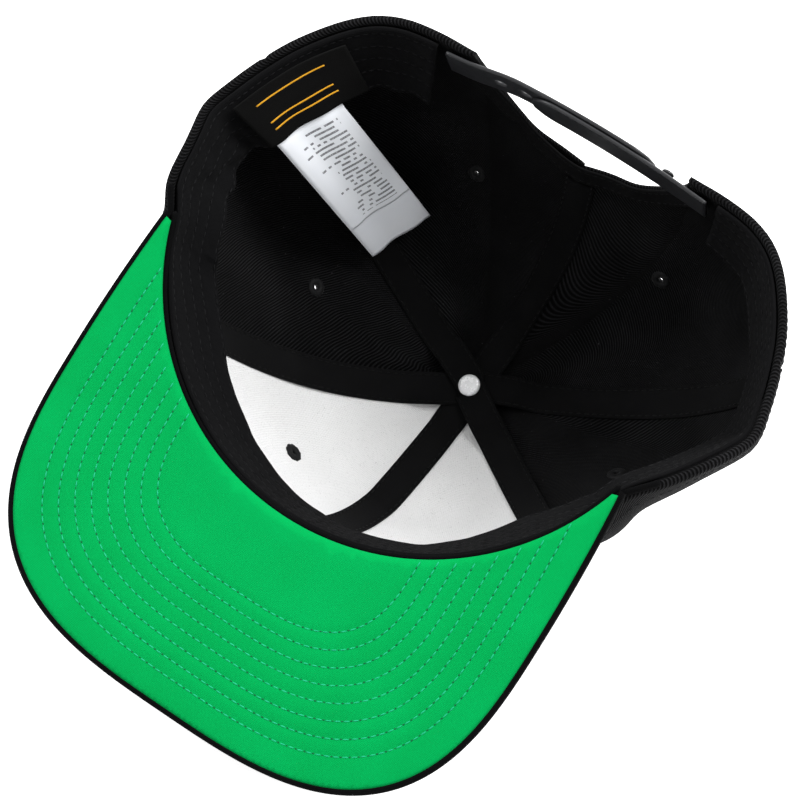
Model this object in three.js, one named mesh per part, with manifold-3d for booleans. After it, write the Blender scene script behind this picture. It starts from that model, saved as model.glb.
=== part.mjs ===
// A six-panel snapback cap lying on its crown, open side up, in millimetres.
// It is drawn with the flat visor level: x to the wearer's right, y to the back, z up out of the opening.
// The closing group then tips it to how it rests on a table.
import * as THREE from 'three';
import { mergeVertices } from 'three/addons/utils/BufferGeometryUtils.js';
import Module from 'manifold-3d';

const wasm = await Module();
wasm.setup();

// Visor: a flat board in two cloth covers with a piped edge.
const visorWidth = 184.8;
const visorTaper = 2;
const visorShoulder = 50;
const visorReach = 136;
const visorSquareness = 3.05;
const visorCoverUnder = 1.7;
const visorCoverTop = 1.6;
const visorTipY = 4;
const pipingWidth = 2.2;
const frontArcRadius = 91;
const frontArcCentreY = 30.5;

// Crown: its rim, its axis and how square its shoulders are.
const rimCentreY = 23;
const rimRadius = 100;
const rimCentreDrop = 18;
const backSink = 36;
const backReach = 83.5;
const crownHeight = 113;
const apexForward = 15.5;
const apexAside = 7;
const axisBend = 1.7;
const frontFullness = 2.75;
const sideFullness = 2.45;
const backFullness = 2.5;
const panelSwell = 0.012;
const bulge = 0.07;
const bulgeAngle = 72;
const bulgeSpread = 9;
const sway = 6;
const swayLength = 40;

// Cloth walls and the play between pieces.
const gap = 0.3;
const panelWall = 1.5;
const hemWall = 3.1;
const hemDepth = 8;
const linerWall = 1;
const linerTop = 12;
const linerHem = 12;
const tapeWall = 0.7;
const tapeWidth = 12.5;
const tapeClearance = 0.4;
const shankHole = 2.3;
const cutLength = 30;

// Inner sweatband.
const bandWall = 1.6;
const bandWidth = 31;
const bandEdge = 0.8;
const bandWave = 0.03;
const bandWaves = 9;
const bandEndAngle = 146;

// Half-moon opening and plastic snap strap at the back.
const archHalfWidth = 43;
const archHeight = 47;
const archTapeWidth = 9;
const archTapePlay = 1.4;
const strapHeight = 19;
const strapWall = 1.4;
const strapHalfSpan = 52;
const strapBow = 2.6;
const strapPlay = 1.6;
const strapPitch = 9.5;
const holeCount = 7;
const pegCount = 6;
const snapHole = 2.7;
const snapPeg = 2.1;
const pegHeight = 3.2;
const outerStrapEnd = 30;
const innerStrapEnd = -19;
const firstHole = 25;
const bluntEnd = 0.12;
const pegRoot = 0.4;

// Button, rivet, eyelets and labels.
const buttonRadius = 7.5;
const buttonHeight = 4.2;
const buttonPlay = 0.6;
const shankRadius = 1.6;
const rivetRadius = 4.2;
const rivetHeight = 1.5;
const eyeletRadius = 3.7;
const eyeletNeck = 2.7;
const eyeletBore = 0.7;
const eyeletLip = 0.9;
const labelWall = 0.7;
const labelHeight = 25;
const careWidth = 32;
const careWall = 0.5;

// How it rests: the tip of the visor towards the table, and how far the crown is pressed flat.
const restTip = 30;
const pressSoftness = 1;
const buttonClear = 0.1;

const rad = THREE.MathUtils.degToRad;
const visorThickness = visorCoverUnder + gap + visorCoverTop;
const seams = [0, 58.5, 113, 180];

// Rim behind the visor's tips: angle from the front seam in degrees, reach as a share of rimRadius.
const rimTable = [
  { angle: 77.5, reach: 0.953 },
  { angle: 84.5, reach: 0.99 },
  { angle: 92, reach: 1.045 },
  { angle: 99.3, reach: 1.115 },
  { angle: 105, reach: 1.112 },
  { angle: 113, reach: 1.117 },
  { angle: 118, reach: 1.122 },
  { angle: 123, reach: 1.122 },
  { angle: 129, reach: 1.122 },
  { angle: 134, reach: 1.112 },
  { angle: 139, reach: 1.08 },
  { angle: 152, reach: 0.944 },
  { angle: 166, reach: 0.86 },
  { angle: 180, reach: 0.835 },
];

function smooth(t) {
  const s = THREE.MathUtils.clamp(t, 0, 1);
  return s * s * (3 - 2 * s);
}

// How far round from the front seam an angle lies, either way.
function awayFromFront(angle) {
  const turn = Math.abs(angle) % 360;
  return turn > 180 ? 360 - turn : turn;
}

function frontReach(angle) {
  const shift = frontArcCentreY - rimCentreY;
  const radius = frontArcRadius + hemWall;
  const along = shift * Math.cos(rad(angle));
  return Math.sqrt(along * along - shift * shift + radius * radius) - along;
}

function rimReach(angle) {
  const turn = awayFromFront(angle);
  const first = rimTable[0];
  if (turn <= first.angle) return frontReach(turn);
  const next = Math.max(1, rimTable.findIndex((row) => row.angle >= turn));
  const [low, high] = [rimTable[next - 1], rimTable[next]];
  const share = (turn - low.angle) / (high.angle - low.angle);
  const start = next === 1 ? frontReach(first.angle) : low.reach * rimRadius;
  return start + (high.reach * rimRadius - start) * share;
}

function rimPoint(angle) {
  const reach = rimReach(angle);
  const x = reach * Math.sin(rad(angle));
  const y = rimCentreY - reach * Math.cos(rad(angle));
  const sink = Math.max(visorThickness + gap, (backSink * y) / (rimCentreY + backReach));
  return new THREE.Vector3(x + sway * smooth(y / swayLength), y, -sink);
}

function fullness(angle) {
  const lean = Math.cos(rad(angle));
  const end = lean > 0 ? frontFullness : backFullness;
  return sideFullness + (end - sideFullness) * lean * lean;
}

// Panels swell a little between their seams.
function swell(angle) {
  const turn = awayFromFront(angle);
  const next = Math.max(1, seams.findIndex((seam) => seam >= turn));
  const share = (turn - seams[next - 1]) / (seams[next] - seams[next - 1]);
  return panelSwell * Math.sin(Math.PI * share) ** 2;
}

// The crown swells out under the visor's tips, most at a fifth of its height.
function bulgeAt(angle, up) {
  const near = (awayFromFront(angle) - bulgeAngle) / bulgeSpread;
  return bulge * Math.exp(-near * near) * 12.2 * up * (1 - up) ** 4;
}

const down = new THREE.Vector3(0, -Math.sin(rad(restTip)), -Math.cos(rad(restTip)));

// Outer face of the crown before it is pressed: rise runs from 0 at the rim to a quarter turn at the apex.
function looseShell(angle, rise) {
  const power = 2 / fullness(angle);
  const up = Math.sin(rise) ** power;
  const grown = 1 + swell(angle) * Math.sin(2 * rise) + bulgeAt(angle, up);
  const out = Math.max(0, Math.cos(rise)) ** power * grown;
  const rim = rimPoint(angle);
  return new THREE.Vector3(
    rim.x * out + apexAside * up ** axisBend,
    rimCentreY + (rim.y - rimCentreY) * out - apexForward * up ** axisBend,
    -rimCentreDrop - crownHeight * up + (rim.z + rimCentreDrop) * out,
  );
}

const capAxis = new THREE.Vector3(apexAside, -apexForward, -crownHeight).normalize();

// The button's seat at the apex, which the table doesn't press.
function looseSeat() {
  const ring = [0, 90, 180, 270].map((angle) => looseShell(angle, riseNearApex(angle, shankHole)));
  return ring.reduce((sum, point) => sum.add(point), new THREE.Vector3()).multiplyScalar(1 / ring.length);
}
const apexSeat = { point: looseSeat(), into: capAxis.clone().negate() };

// The table meets the button's dome, and presses the front shoulder flat at the same level.
const domeTable = [
  { radius: 0, height: 1 },
  { radius: 0.55, height: 0.86 },
  { radius: 0.9, height: 0.5 },
  { radius: 1, height: 0.15 },
];
const domeLevels = domeTable.map(({ radius, height }) => {
  const lean = down.angleTo(capAxis);
  return (buttonPlay + height * buttonHeight) * Math.cos(lean) + radius * buttonRadius * Math.sin(lean);
});
const pressLevel = apexSeat.point.dot(down) + Math.max(...domeLevels) + buttonClear;

function shell(angle, rise) {
  const point = looseShell(angle, rise);
  const over = point.dot(down) - pressLevel;
  let cut = 0;
  if (over > pressSoftness) cut = over;
  else if (over > -pressSoftness) cut = (over + pressSoftness) ** 2 / (4 * pressSoftness);
  return point.addScaledVector(down, -cut);
}

// Unit vector into the hollow, square to the crown's face.
function inward(angle, rise) {
  const step = 0.01;
  const low = Math.min(rise, Math.PI / 2 - 3 * step);
  const along = shell(angle, low + step).sub(shell(angle, Math.max(0, low - step)));
  const round = shell(angle + 1, low).sub(shell(angle - 1, low));
  return round.cross(along).normalize();
}

function layer(angle, rise, depth) {
  return shell(angle, rise).addScaledVector(inward(angle, rise), depth);
}

function riseAt(angle, depth) {
  return Math.asin(THREE.MathUtils.clamp(depth / crownHeight, 0, 1) ** (fullness(angle) / 2));
}

function riseNearApex(angle, radius) {
  return Math.acos((radius / rimReach(angle)) ** (fullness(angle) / 2));
}

// A closed sheet over a grid: place(i, j, 0) is its outer face and place(i, j, 1) its inner.
function slab(columns, rows, place) {
  const positions = [];
  const index = [];
  const at = (i, j, side) => (side * columns + i) * rows + j;
  for (const side of [0, 1]) {
    for (let i = 0; i < columns; i += 1) {
      for (let j = 0; j < rows; j += 1) positions.push(...place(i, j, side).toArray());
    }
  }
  const quad = (a, b, c, d) => index.push(a, b, c, a, c, d);
  for (let i = 0; i < columns - 1; i += 1) {
    for (let j = 0; j < rows - 1; j += 1) {
      quad(at(i, j, 0), at(i, j + 1, 0), at(i + 1, j + 1, 0), at(i + 1, j, 0));
      quad(at(i, j, 1), at(i + 1, j, 1), at(i + 1, j + 1, 1), at(i, j + 1, 1));
    }
  }
  for (let i = 0; i < columns - 1; i += 1) {
    quad(at(i, 0, 0), at(i + 1, 0, 0), at(i + 1, 0, 1), at(i, 0, 1));
    quad(at(i, rows - 1, 0), at(i, rows - 1, 1), at(i + 1, rows - 1, 1), at(i + 1, rows - 1, 0));
  }
  for (let j = 0; j < rows - 1; j += 1) {
    quad(at(0, j, 0), at(0, j, 1), at(0, j + 1, 1), at(0, j + 1, 0));
    quad(at(columns - 1, j, 0), at(columns - 1, j + 1, 0), at(columns - 1, j + 1, 1), at(columns - 1, j, 1));
  }
  return outwards(positions, index);
}

function outwards(positions, index) {
  const corner = (k) => new THREE.Vector3().fromArray(positions, 3 * k);
  let volume = 0;
  for (let k = 0; k < index.length; k += 3) {
    volume += corner(index[k]).dot(corner(index[k + 1]).cross(corner(index[k + 2])));
  }
  if (volume < 0) index.reverse();
  const geometry = new THREE.BufferGeometry();
  geometry.setAttribute('position', new THREE.Float32BufferAttribute(positions, 3));
  geometry.setIndex(index);
  return geometry;
}

function toSolid(geometry) {
  const bare = geometry.clone();
  bare.deleteAttribute('normal');
  bare.deleteAttribute('uv');
  const merged = mergeVertices(bare, 1e-4);
  const vertProperties = Float32Array.from(merged.getAttribute('position').array);
  const triVerts = Uint32Array.from(merged.index.array);
  return new wasm.Manifold(new wasm.Mesh({ numProp: 3, vertProperties, triVerts }));
}

function toGeometry(solid) {
  const mesh = solid.getMesh();
  return outwards(Array.from(mesh.vertProperties), Array.from(mesh.triVerts));
}

function subtract(geometry, cutters) {
  return toGeometry(cutters.reduce((solid, cutter) => solid.subtract(toSolid(cutter)), toSolid(geometry)));
}

// A turned shape stood on a point, with its own +y along a direction.
function stand(geometry, point, direction) {
  const turn = new THREE.Quaternion().setFromUnitVectors(new THREE.Vector3(0, 1, 0), direction);
  return geometry.applyQuaternion(turn).translate(point.x, point.y, point.z);
}

function turned(profile, sides) {
  return new THREE.LatheGeometry(profile.map(([r, h]) => new THREE.Vector2(r, h)), sides);
}

const cap = new THREE.Group();
const cloth = { black: 0x17171a, green: 0x00b25c, white: 0xe2e2e2, paper: 0xdce1eb };

function add(name, geometry, color, roughness = 0.9, metalness = 0) {
  const mesh = new THREE.Mesh(geometry, new THREE.MeshStandardMaterial({ color, roughness, metalness }));
  mesh.name = name;
  cap.add(mesh);
}

// The angles that the panels, liners and band all have points at, on the wearer's right.
function between(from, to, steps) {
  return Array.from({ length: steps + 1 }, (_, k) => from + ((to - from) * k) / steps);
}
const cornerAngle = rimTable[3].angle;
const strapAngle = THREE.MathUtils.radToDeg(Math.atan2(archHalfWidth + 1.5, backReach));
const archColumns = [0.985, 0.94, 0.86, 0.74, 0.58, 0.38, 0.18, 0];
const archAngles = archColumns.map((s) => (
  180 - THREE.MathUtils.radToDeg(Math.atan((s * archHalfWidth) / backReach))));
function rimAnglesFrom(low, high) {
  return rimTable.map((row) => row.angle).filter((angle) => angle >= low && angle <= high);
}
const panelAngles = {
  front: between(seams[0], seams[1], 7),
  side: [...between(seams[1], cornerAngle, 5), ...rimAnglesFrom(cornerAngle + 1, seams[2])],
  back: [...rimAnglesFrom(seams[2], bandEndAngle), bandEndAngle, 180 - strapAngle, ...archAngles],
};

// Depth at which the crown's cloth starts below the rim line: nil, or the half-moon's edge.
function edgeDepth(angle) {
  const across = Math.abs(backReach * Math.tan(rad(180 - Math.abs(angle))));
  if (Math.abs(angle) < 90 || across >= archHalfWidth) return 0;
  return archHeight * Math.sqrt(1 - (across / archHalfWidth) ** 2);
}

const crownRows = 12;
const rowEase = 1.2;
const lastRing = 23;

function rowRise(angle, row, start = edgeDepth(angle)) {
  if (row < 3) return riseAt(angle, start + [0, hemDepth - 1, hemDepth][row]);
  if (row === crownRows - 1) return riseNearApex(angle, shankHole);
  const low = riseAt(angle, start + hemDepth);
  const share = ((row - 2) / (crownRows - 4)) ** rowEase;
  return low + (riseNearApex(angle, lastRing) - low) * share;
}

// Each eyelet sits in the middle of one facet of its panel, counted from the front and from the rim.
const eyeletTable = [
  { panel: 'front', column: 3, row: 6 },
  { panel: 'side', column: 3, row: 7 },
  { panel: 'back', column: 6, row: 6 },
];

function eyeletSeat({ panel, column, row }, hand) {
  const point = new THREE.Vector3();
  const into = new THREE.Vector3();
  for (const i of [column, column + 1]) {
    for (const j of [row, row + 1]) {
      const angle = panelAngles[panel][i];
      point.addScaledVector(shell(hand * angle, rowRise(angle, j)), 0.25);
      into.add(inward(hand * angle, rowRise(angle, j)));
    }
  }
  return { point, into: into.normalize() };
}

function eyeletCutter(row, hand) {
  const { point, into } = eyeletSeat(row, hand);
  return stand(new THREE.CylinderGeometry(eyeletNeck + gap, eyeletNeck + gap, cutLength, 10), point, into);
}

for (const [side, hand] of [['left', -1], ['right', 1]]) {
  for (const [panel, angles] of Object.entries(panelAngles)) {
    const last = angles.length - 1;
    const sheet = slab(angles.length, crownRows, (i, j, face) => {
      const rise = rowRise(angles[i], j);
      const round = Math.max(shankHole, rimReach(angles[i]) * Math.cos(rise) ** (2 / fullness(angles[i])));
      const play = THREE.MathUtils.radToDeg(gap / 2 / round);
      const shift = i === 0 ? play : i === last ? -play : 0;
      const hemmed = j < 2 && angles[i] <= 180 - strapAngle;
      return layer(hand * (angles[i] + shift), rise, face * (hemmed ? hemWall : panelWall));
    });
    const cutters = eyeletTable.filter((row) => row.panel === panel).map((row) => eyeletCutter(row, hand));
    add(`crown_${panel}_${side}`, subtract(sheet, cutters), cloth.black);
  }

  // White stiffener behind each front panel.
  const linerAngles = panelAngles.front;
  const liner = slab(linerAngles.length, crownRows - 3, (i, j, face) => {
    const angle = linerAngles[i];
    const highest = riseNearApex(angle, linerTop);
    const rise = j === 0 ? riseAt(angle, linerHem) : Math.min(rowRise(angle, j + 2), highest);
    const play = THREE.MathUtils.radToDeg(gap / 2 / linerTop);
    const shift = i === 0 ? play : i === linerAngles.length - 1 ? -play : 0;
    return layer(hand * (angle + shift), rise, panelWall + gap + face * linerWall);
  });
  add(`liner_${side}`, subtract(liner, [eyeletCutter(eyeletTable[0], hand)]), cloth.white, 0.95);
}

for (const row of eyeletTable) {
  const lined = row.panel === 'front' ? gap + linerWall : 0;
  const deep = panelWall + lined;
  for (const [side, hand] of [['left', -1], ['right', 1]]) {
    const { point, into } = eyeletSeat(row, hand);
    const low = -gap;
    const high = deep + gap;
    const profile = [[eyeletBore, low - eyeletLip], [eyeletRadius, low - eyeletLip / 2], [eyeletRadius, low],
      [eyeletNeck, low], [eyeletNeck, high], [eyeletRadius, high], [eyeletRadius, high + eyeletLip / 2],
      [eyeletBore, high + eyeletLip], [eyeletBore, low - eyeletLip]];
    add(`eyelet_${row.panel}_${side}`, stand(turned(profile, 10), point, into), cloth.black);
  }
}

// Three tapes cover the seams, each from rim to rim across the apex, and lie on each other at the rivet.
const tapeTable = [
  { name: 'seam_tape_middle', from: 0, to: 180, order: 0 },
  { name: 'seam_tape_left', from: -seams[1], to: seams[2], order: 1 },
  { name: 'seam_tape_right', from: seams[1], to: -seams[2], order: 2 },
];
const tapeFloor = panelWall + gap + linerWall + tapeClearance;
const crossing = 15.5;
const domeSlack = 0.5;
const crossingPlay = 0.8;
const tapeStep = tapeWall + gap + crossingPlay;
const stationGap = 0.025;

function tapeStations(angle, hand) {
  const stations = [];
  const start = edgeDepth(angle);
  const near = riseNearApex(angle, lastRing);
  const first = riseAt(angle, start > 0 ? start + archTapeWidth + 1.5 : hemDepth + 1.2);
  for (let row = 2; row < crownRows; row += 1) {
    const rise = Math.max(first, rowRise(angle, row, start));
    const last = stations.at(-1);
    const apart = !last || rise > last.rise + stationGap;
    if (rise < near - stationGap && apart) stations.push({ angle, rise, raised: 0, hand });
  }
  stations.push({ angle, rise: near, raised: 0, hand });
  stations.push({ angle, rise: riseNearApex(angle, crossing), raised: 1, hand });
  stations.push({ angle, rise: riseNearApex(angle, shankHole + 1), raised: 1, hand });
  return hand < 0 ? stations.reverse() : stations;
}

function tapeDepth(station, order) {
  const front = Math.abs(station.angle) <= seams[1] ? 1 : station.raised;
  const low = panelWall + tapeClearance;
  return low + (tapeFloor - low) * front + (order * tapeStep + domeSlack) * station.raised;
}

// The neighbouring column of the panels beside a seam, so that a tape lies along their facets.
const allColumns = [...new Set(Object.values(panelAngles).flat())].sort((a, b) => a - b);

function nextColumn(angle, step) {
  const away = Math.abs(angle);
  const outwardStep = angle < 0 ? -step : step;
  const here = allColumns.findIndex((column) => Math.abs(column - away) < 1e-6);
  const other = here + outwardStep;
  const columnAngle = allColumns[other < 0 ? 1 : Math.min(other, 2 * allColumns.length - 2 - other)];
  let wrapped = columnAngle;
  if (other < 0) wrapped = -columnAngle;
  else if (other > allColumns.length - 1) wrapped = 360 - columnAngle;
  return angle < 0 ? -wrapped : wrapped;
}

function tape({ from, to, order }) {
  const stations = [...tapeStations(from, 1), ...tapeStations(to, -1)];
  return slab(3, stations.length, (i, j, face) => {
    const station = stations[j];
    const depth = tapeDepth(station, order) + face * tapeWall;
    const middle = layer(station.angle, station.rise, depth);
    if (i === 1) return middle;
    const beside = nextColumn(station.angle, station.hand * (i - 1));
    const edge = layer(beside, station.rise, depth).sub(middle).normalize();
    return middle.addScaledVector(edge, tapeWidth / 2);
  });
}

function shankCutter() {
  const cutter = new THREE.CylinderGeometry(shankHole, shankHole, cutLength, 10);
  return stand(cutter, apexSeat.point, apexSeat.into);
}

for (const row of tapeTable) add(row.name, subtract(tape(row), [shankCutter()]), cloth.black);

// Cloth-covered button outside, on a shank that the bright rivet closes inside.
const tapesTop = tapeFloor + domeSlack + 2 * tapeStep + tapeWall + 3 * gap;
const dome = domeTable.map(({ radius, height }) => (
  [radius * buttonRadius, -buttonPlay - height * buttonHeight]));
const button = turned([...dome, [buttonRadius * 0.9, -buttonPlay], [shankRadius, -buttonPlay],
  [shankRadius, tapesTop - gap], [0, tapesTop - gap]], 16);
add('crown_button', stand(button, apexSeat.point, apexSeat.into), cloth.black);
const rivetTable = [
  { radius: 0, height: 0 },
  { radius: 0.85, height: 0 },
  { radius: 1, height: 0.3 },
  { radius: 0.8, height: 0.8 },
  { radius: 0.4, height: 1 },
  { radius: 0, height: 1 },
];
const rivet = turned(rivetTable.map(({ radius, height }) => (
  [radius * rivetRadius, tapesTop + height * rivetHeight])), 16);
add('button_rivet', stand(rivet, apexSeat.point, apexSeat.into), 0xe6e8ea, 0.2, 1);

// Sweatband: it stands inside the hem and leans into the hollow towards its free edge.
const leanTable = [
  { angle: -150, lean: 0.42 },
  { angle: -103, lean: 0.42 },
  { angle: -95, lean: 0.24 },
  { angle: -86, lean: 0.29 },
  { angle: -74, lean: 0.42 },
  { angle: -60, lean: 0.35 },
  { angle: -35, lean: 0.26 },
  { angle: 7, lean: 0.1 },
  { angle: 30, lean: 0.18 },
  { angle: 50, lean: 0.28 },
  { angle: 68, lean: 0.4 },
  { angle: 88, lean: 0.18 },
  { angle: 150, lean: 0.18 },
];

function bandLean(angle) {
  const next = Math.max(1, leanTable.findIndex((row) => row.angle >= angle));
  const [low, high] = [leanTable[next - 1], leanTable[next]];
  return low.lean + ((high.lean - low.lean) * (angle - low.angle)) / (high.angle - low.angle);
}

function bandPoint(angle, reach, depth) {
  const lean = bandLean(angle) + (bandWave * Math.sin(rad(angle * bandWaves)) * reach) / bandWidth;
  return layer(angle, riseAt(angle, reach * Math.cos(Math.atan(lean))), hemWall + gap + lean * reach + depth);
}

const bandAngles = [...panelAngles.front, ...panelAngles.side.slice(1),
  ...panelAngles.back.slice(1).filter((a) => a <= bandEndAngle)];
const bandRound = [...bandAngles.slice(1).reverse().map((a) => -a), ...bandAngles];
const bandRows = [0, 0.12, 0.45, 0.75, 1];
add('sweatband', slab(bandRound.length, bandRows.length, (i, j, face) => {
  const reach = bandEdge + bandRows[j] * (bandWidth - bandEdge);
  return bandPoint(bandRound[i], reach, face * bandWall);
}), cloth.black);

// Visor covers and piping share one outline.
function visorOutline(inset) {
  const half = visorWidth / 2 - inset;
  const reach = visorReach - visorShoulder - inset;
  const power = 2 / visorSquareness;
  const points = [];
  for (const y of [visorTipY, -visorShoulder * 0.33, -visorShoulder * 0.66]) {
    points.push(new THREE.Vector2(half - visorTaper * ((y + visorShoulder) / visorShoulder) ** 2, y));
  }
  const steps = 16;
  for (let k = steps; k >= 0; k -= 1) {
    const turn = (Math.PI / 2) * (k / steps);
    const x = half * Math.sin(turn) ** power;
    points.push(new THREE.Vector2(x, -visorShoulder - reach * Math.cos(turn) ** power));
  }
  const other = points.slice(0, -1).reverse().map((p) => new THREE.Vector2(-p.x, p.y));
  return [...points, ...other];
}

function visorPlate(bottom, top) {
  const outer = visorOutline(pipingWidth + gap);
  const steps = 28;
  const half = Math.asin(Math.min(1, (outer[0].x - 0.4) / frontArcRadius));
  const inner = between(-half, half, steps).map((turn) => new THREE.Vector2(
    frontArcRadius * Math.sin(turn), frontArcCentreY - frontArcRadius * Math.cos(turn)));
  const shape = new THREE.Shape([...outer, ...inner.filter((p) => p.y < visorTipY - 0.5)]);
  const plate = new THREE.ExtrudeGeometry(shape, { depth: top - bottom, bevelEnabled: false });
  return plate.translate(0, 0, bottom);
}
add('visor_under', visorPlate(-visorCoverUnder, 0), cloth.green);
add('visor_top', visorPlate(-visorThickness, -visorThickness + visorCoverTop), cloth.black);

const pipingSection = [[0, 0], [0.6, 0.06], [1, 0.3], [1, 0.7], [0.6, 0.94], [0, 1]];
const pipingInner = visorOutline(pipingWidth);
const pipingOuter = visorOutline(0);
add('visor_piping', ringSweep(pipingInner.length, pipingSection.length, (i, j) => {
  const [out, rise] = pipingSection[j];
  const place = pipingInner[i].clone().lerp(pipingOuter[i], out);
  return new THREE.Vector3(place.x, place.y, -visorThickness + rise * visorThickness);
}), cloth.black);

// A closed sweep of a ring of points through stations, with flat ends.
function ringSweep(stations, ring, place) {
  const positions = [];
  const index = [];
  const at = (i, j) => i * ring + (j % ring);
  for (let i = 0; i < stations; i += 1) {
    for (let j = 0; j < ring; j += 1) positions.push(...place(i, j).toArray());
  }
  for (let i = 0; i < stations - 1; i += 1) {
    for (let j = 0; j < ring; j += 1) {
      index.push(at(i, j), at(i + 1, j), at(i + 1, j + 1), at(i, j), at(i + 1, j + 1), at(i, j + 1));
    }
  }
  for (let j = 1; j < ring - 1; j += 1) {
    index.push(at(0, 0), at(0, j), at(0, j + 1));
    index.push(at(stations - 1, 0), at(stations - 1, j + 1), at(stations - 1, j));
  }
  return outwards(positions, index);
}

// Facing tape round the half-moon, inside the back panels.
const archFrom = Math.asin((hemDepth + 3.5) / (archHeight + archTapeWidth));
const archStations = between(archFrom, Math.PI - archFrom, 20);
add('arch_tape', slab(archStations.length, 2, (i, j, face) => {
  const half = archHalfWidth + 0.5 + j * archTapeWidth;
  const high = archHeight + 0.5 + j * archTapeWidth;
  const across = half * Math.cos(archStations[i]);
  const angle = 180 - THREE.MathUtils.radToDeg(Math.atan2(across, backReach));
  const rise = riseAt(angle, high * Math.sin(archStations[i]));
  return layer(angle, rise, panelWall + archTapePlay + face * tapeWall);
}), cloth.black);

// Snap strap: pegs on the inner strip stand through holes in the outer one.
const strapSeat = rimPoint(180 - strapAngle);
const strapLean = Math.atan2(shell(180, 0).y - shell(180, riseAt(180, strapHeight)).y, strapHeight);

function strapPlace(x, v, w, outer) {
  const bow = strapBow * (1 - (x / strapHalfSpan) ** 2);
  const step = outer ? (strapWall + gap) * smooth((x + strapHalfSpan - 6) / 22) : 0;
  const y = strapSeat.y - hemWall - strapPlay - strapWall + bow + step + w;
  const z = strapSeat.z - gap - v;
  return new THREE.Vector3(x + sway, y - v * Math.tan(strapLean), z);
}

// A strip with one end sewn in and the other end round.
function strapStrip(sewn, free, outer) {
  const radius = strapHeight / 2;
  const facing = Math.sign(free - sewn);
  const centre = free - facing * radius;
  const straight = between(sewn, centre, Math.round(Math.abs(centre - sewn) / strapPitch) * 2);
  const round = [0.3, 0.56, 0.78, 0.93, 1].map((s) => centre + facing * radius * s);
  const columns = [...straight, ...round];
  return slab(columns.length, 3, (i, j, face) => {
    const past = Math.max(0, (columns[i] - centre) * facing) / radius;
    const half = radius * Math.max(bluntEnd, Math.sqrt(1 - past * past));
    return strapPlace(columns[i], radius + (j - 1) * half, face * strapWall, outer);
  });
}

const snapAxis = new THREE.Vector3(0, Math.cos(strapLean), -Math.sin(strapLean));

const holes = Array.from({ length: holeCount }, (_, k) => firstHole - k * strapPitch);
const pegs = Array.from({ length: pegCount }, (_, k) => firstHole + (1 - k) * strapPitch);
const cutters = holes.map((x) => {
  const cutter = new THREE.CylinderGeometry(snapHole, snapHole, 6 * strapWall, 10);
  return stand(cutter, strapPlace(x, strapHeight / 2, strapWall / 2, true), snapAxis);
});
add('strap_outer', subtract(strapStrip(-strapHalfSpan, outerStrapEnd, true), cutters), 0x3a3b3e, 0.45);
let innerStrap = toSolid(strapStrip(strapHalfSpan, innerStrapEnd, false));
for (const x of pegs) {
  const root = strapPlace(x, strapHeight / 2, strapWall - pegRoot, false);
  const peg = turned([[0, 0], [snapPeg, 0], [snapPeg, pegHeight * 0.75], [snapPeg * 0.7, pegHeight],
    [0, pegHeight]], 10);
  innerStrap = innerStrap.add(toSolid(stand(peg, root, snapAxis)));
}
add('strap_inner', toGeometry(innerStrap), 0x3a3b3e, 0.45);

// Woven label over the band at the back left, with two care labels hanging from under it.
const labelAngles = [-102.5, -105, -113, -118, -123, -127];
const labelFrom = 1.6;
const labelDepth = bandWall + 6 * gap + 2 * careWall;
add('woven_label', slab(labelAngles.length, 4, (i, j, face) => {
  const reach = labelFrom + (labelHeight * j) / 3;
  return bandPoint(labelAngles[i], reach, labelDepth + face * labelWall);
}), 0x141414, 0.8);

// Hanging labels: length, height over the band's outer face, and how far the foot drifts aside.
const careTable = [
  { name: 'care_label_upper', length: 84, lift: bandWall + 3 * gap + careWall, slide: 0 },
  { name: 'care_label_lower', length: 106, lift: bandWall + 2 * gap, slide: 0 },
];
const careAngle = -112;
const careBend = 0.003;

function careLabel({ length, lift, slide }) {
  const sewn = between(labelFrom + 1, bandWidth + 0.5, 3);
  const rows = [...sewn, ...between(bandWidth + 0.5, length, 6).slice(1)];
  const turn = THREE.MathUtils.radToDeg(careWidth / 2 / rimReach(careAngle));
  const columns = [-1, 0, 1].map((side) => {
    const angle = careAngle + side * turn;
    const spots = [];
    const fall = bandPoint(careAngle, bandWidth, 0).sub(bandPoint(careAngle, labelFrom, 0)).normalize();
    const edge = bandPoint(careAngle, bandWidth, 0);
    const back = layer(careAngle, riseAt(careAngle, bandWidth), 0).sub(edge).normalize();
    const across = bandPoint(careAngle + turn, bandWidth, 0);
    across.sub(bandPoint(careAngle - turn, bandWidth, 0)).normalize();
    rows.forEach((reach, j) => {
      if (j < sewn.length) {
        spots.push(bandPoint(angle, reach, lift));
        return;
      }
      const step = reach - rows[j - 1];
      fall.addScaledVector(back, careBend * step).normalize();
      const spot = spots.at(-1).clone().addScaledVector(fall, step);
      spots.push(spot.addScaledVector(across, (slide * step) / length));
    });
    return spots;
  });
  const face = bandPoint(careAngle, bandWidth, 1).sub(bandPoint(careAngle, bandWidth, 0)).normalize();
  return slab(3, rows.length, (i, j, side) => columns[i][j].clone().addScaledVector(face, side * careWall));
}
for (const row of careTable) add(row.name, careLabel(row), cloth.paper, 0.7);

// Tip the cap to its rest and stand it on z = 0, centred over the origin.
const tipped = new THREE.Group();
tipped.add(cap);
cap.rotation.x = rad(restTip);
tipped.updateMatrixWorld(true);
const box = new THREE.Box3().setFromObject(tipped, true);
const middle = box.getCenter(new THREE.Vector3());
tipped.position.set(-middle.x, -middle.y, -box.min.z);

export default tipped;
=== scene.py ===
"""A six-panel snapback cap lying on its crown, open side up, dressed for rendering.

Shapes are worked out in millimetres with the visor level: x to the wearer's right, y to the back,
z up out of the opening. rested() then tips them to how the cap lies, in metres.
"""
import math

import bmesh
import bpy
import numpy as np
from mathutils import Matrix, Vector
from mathutils.geometry import delaunay_2d_cdt


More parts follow.
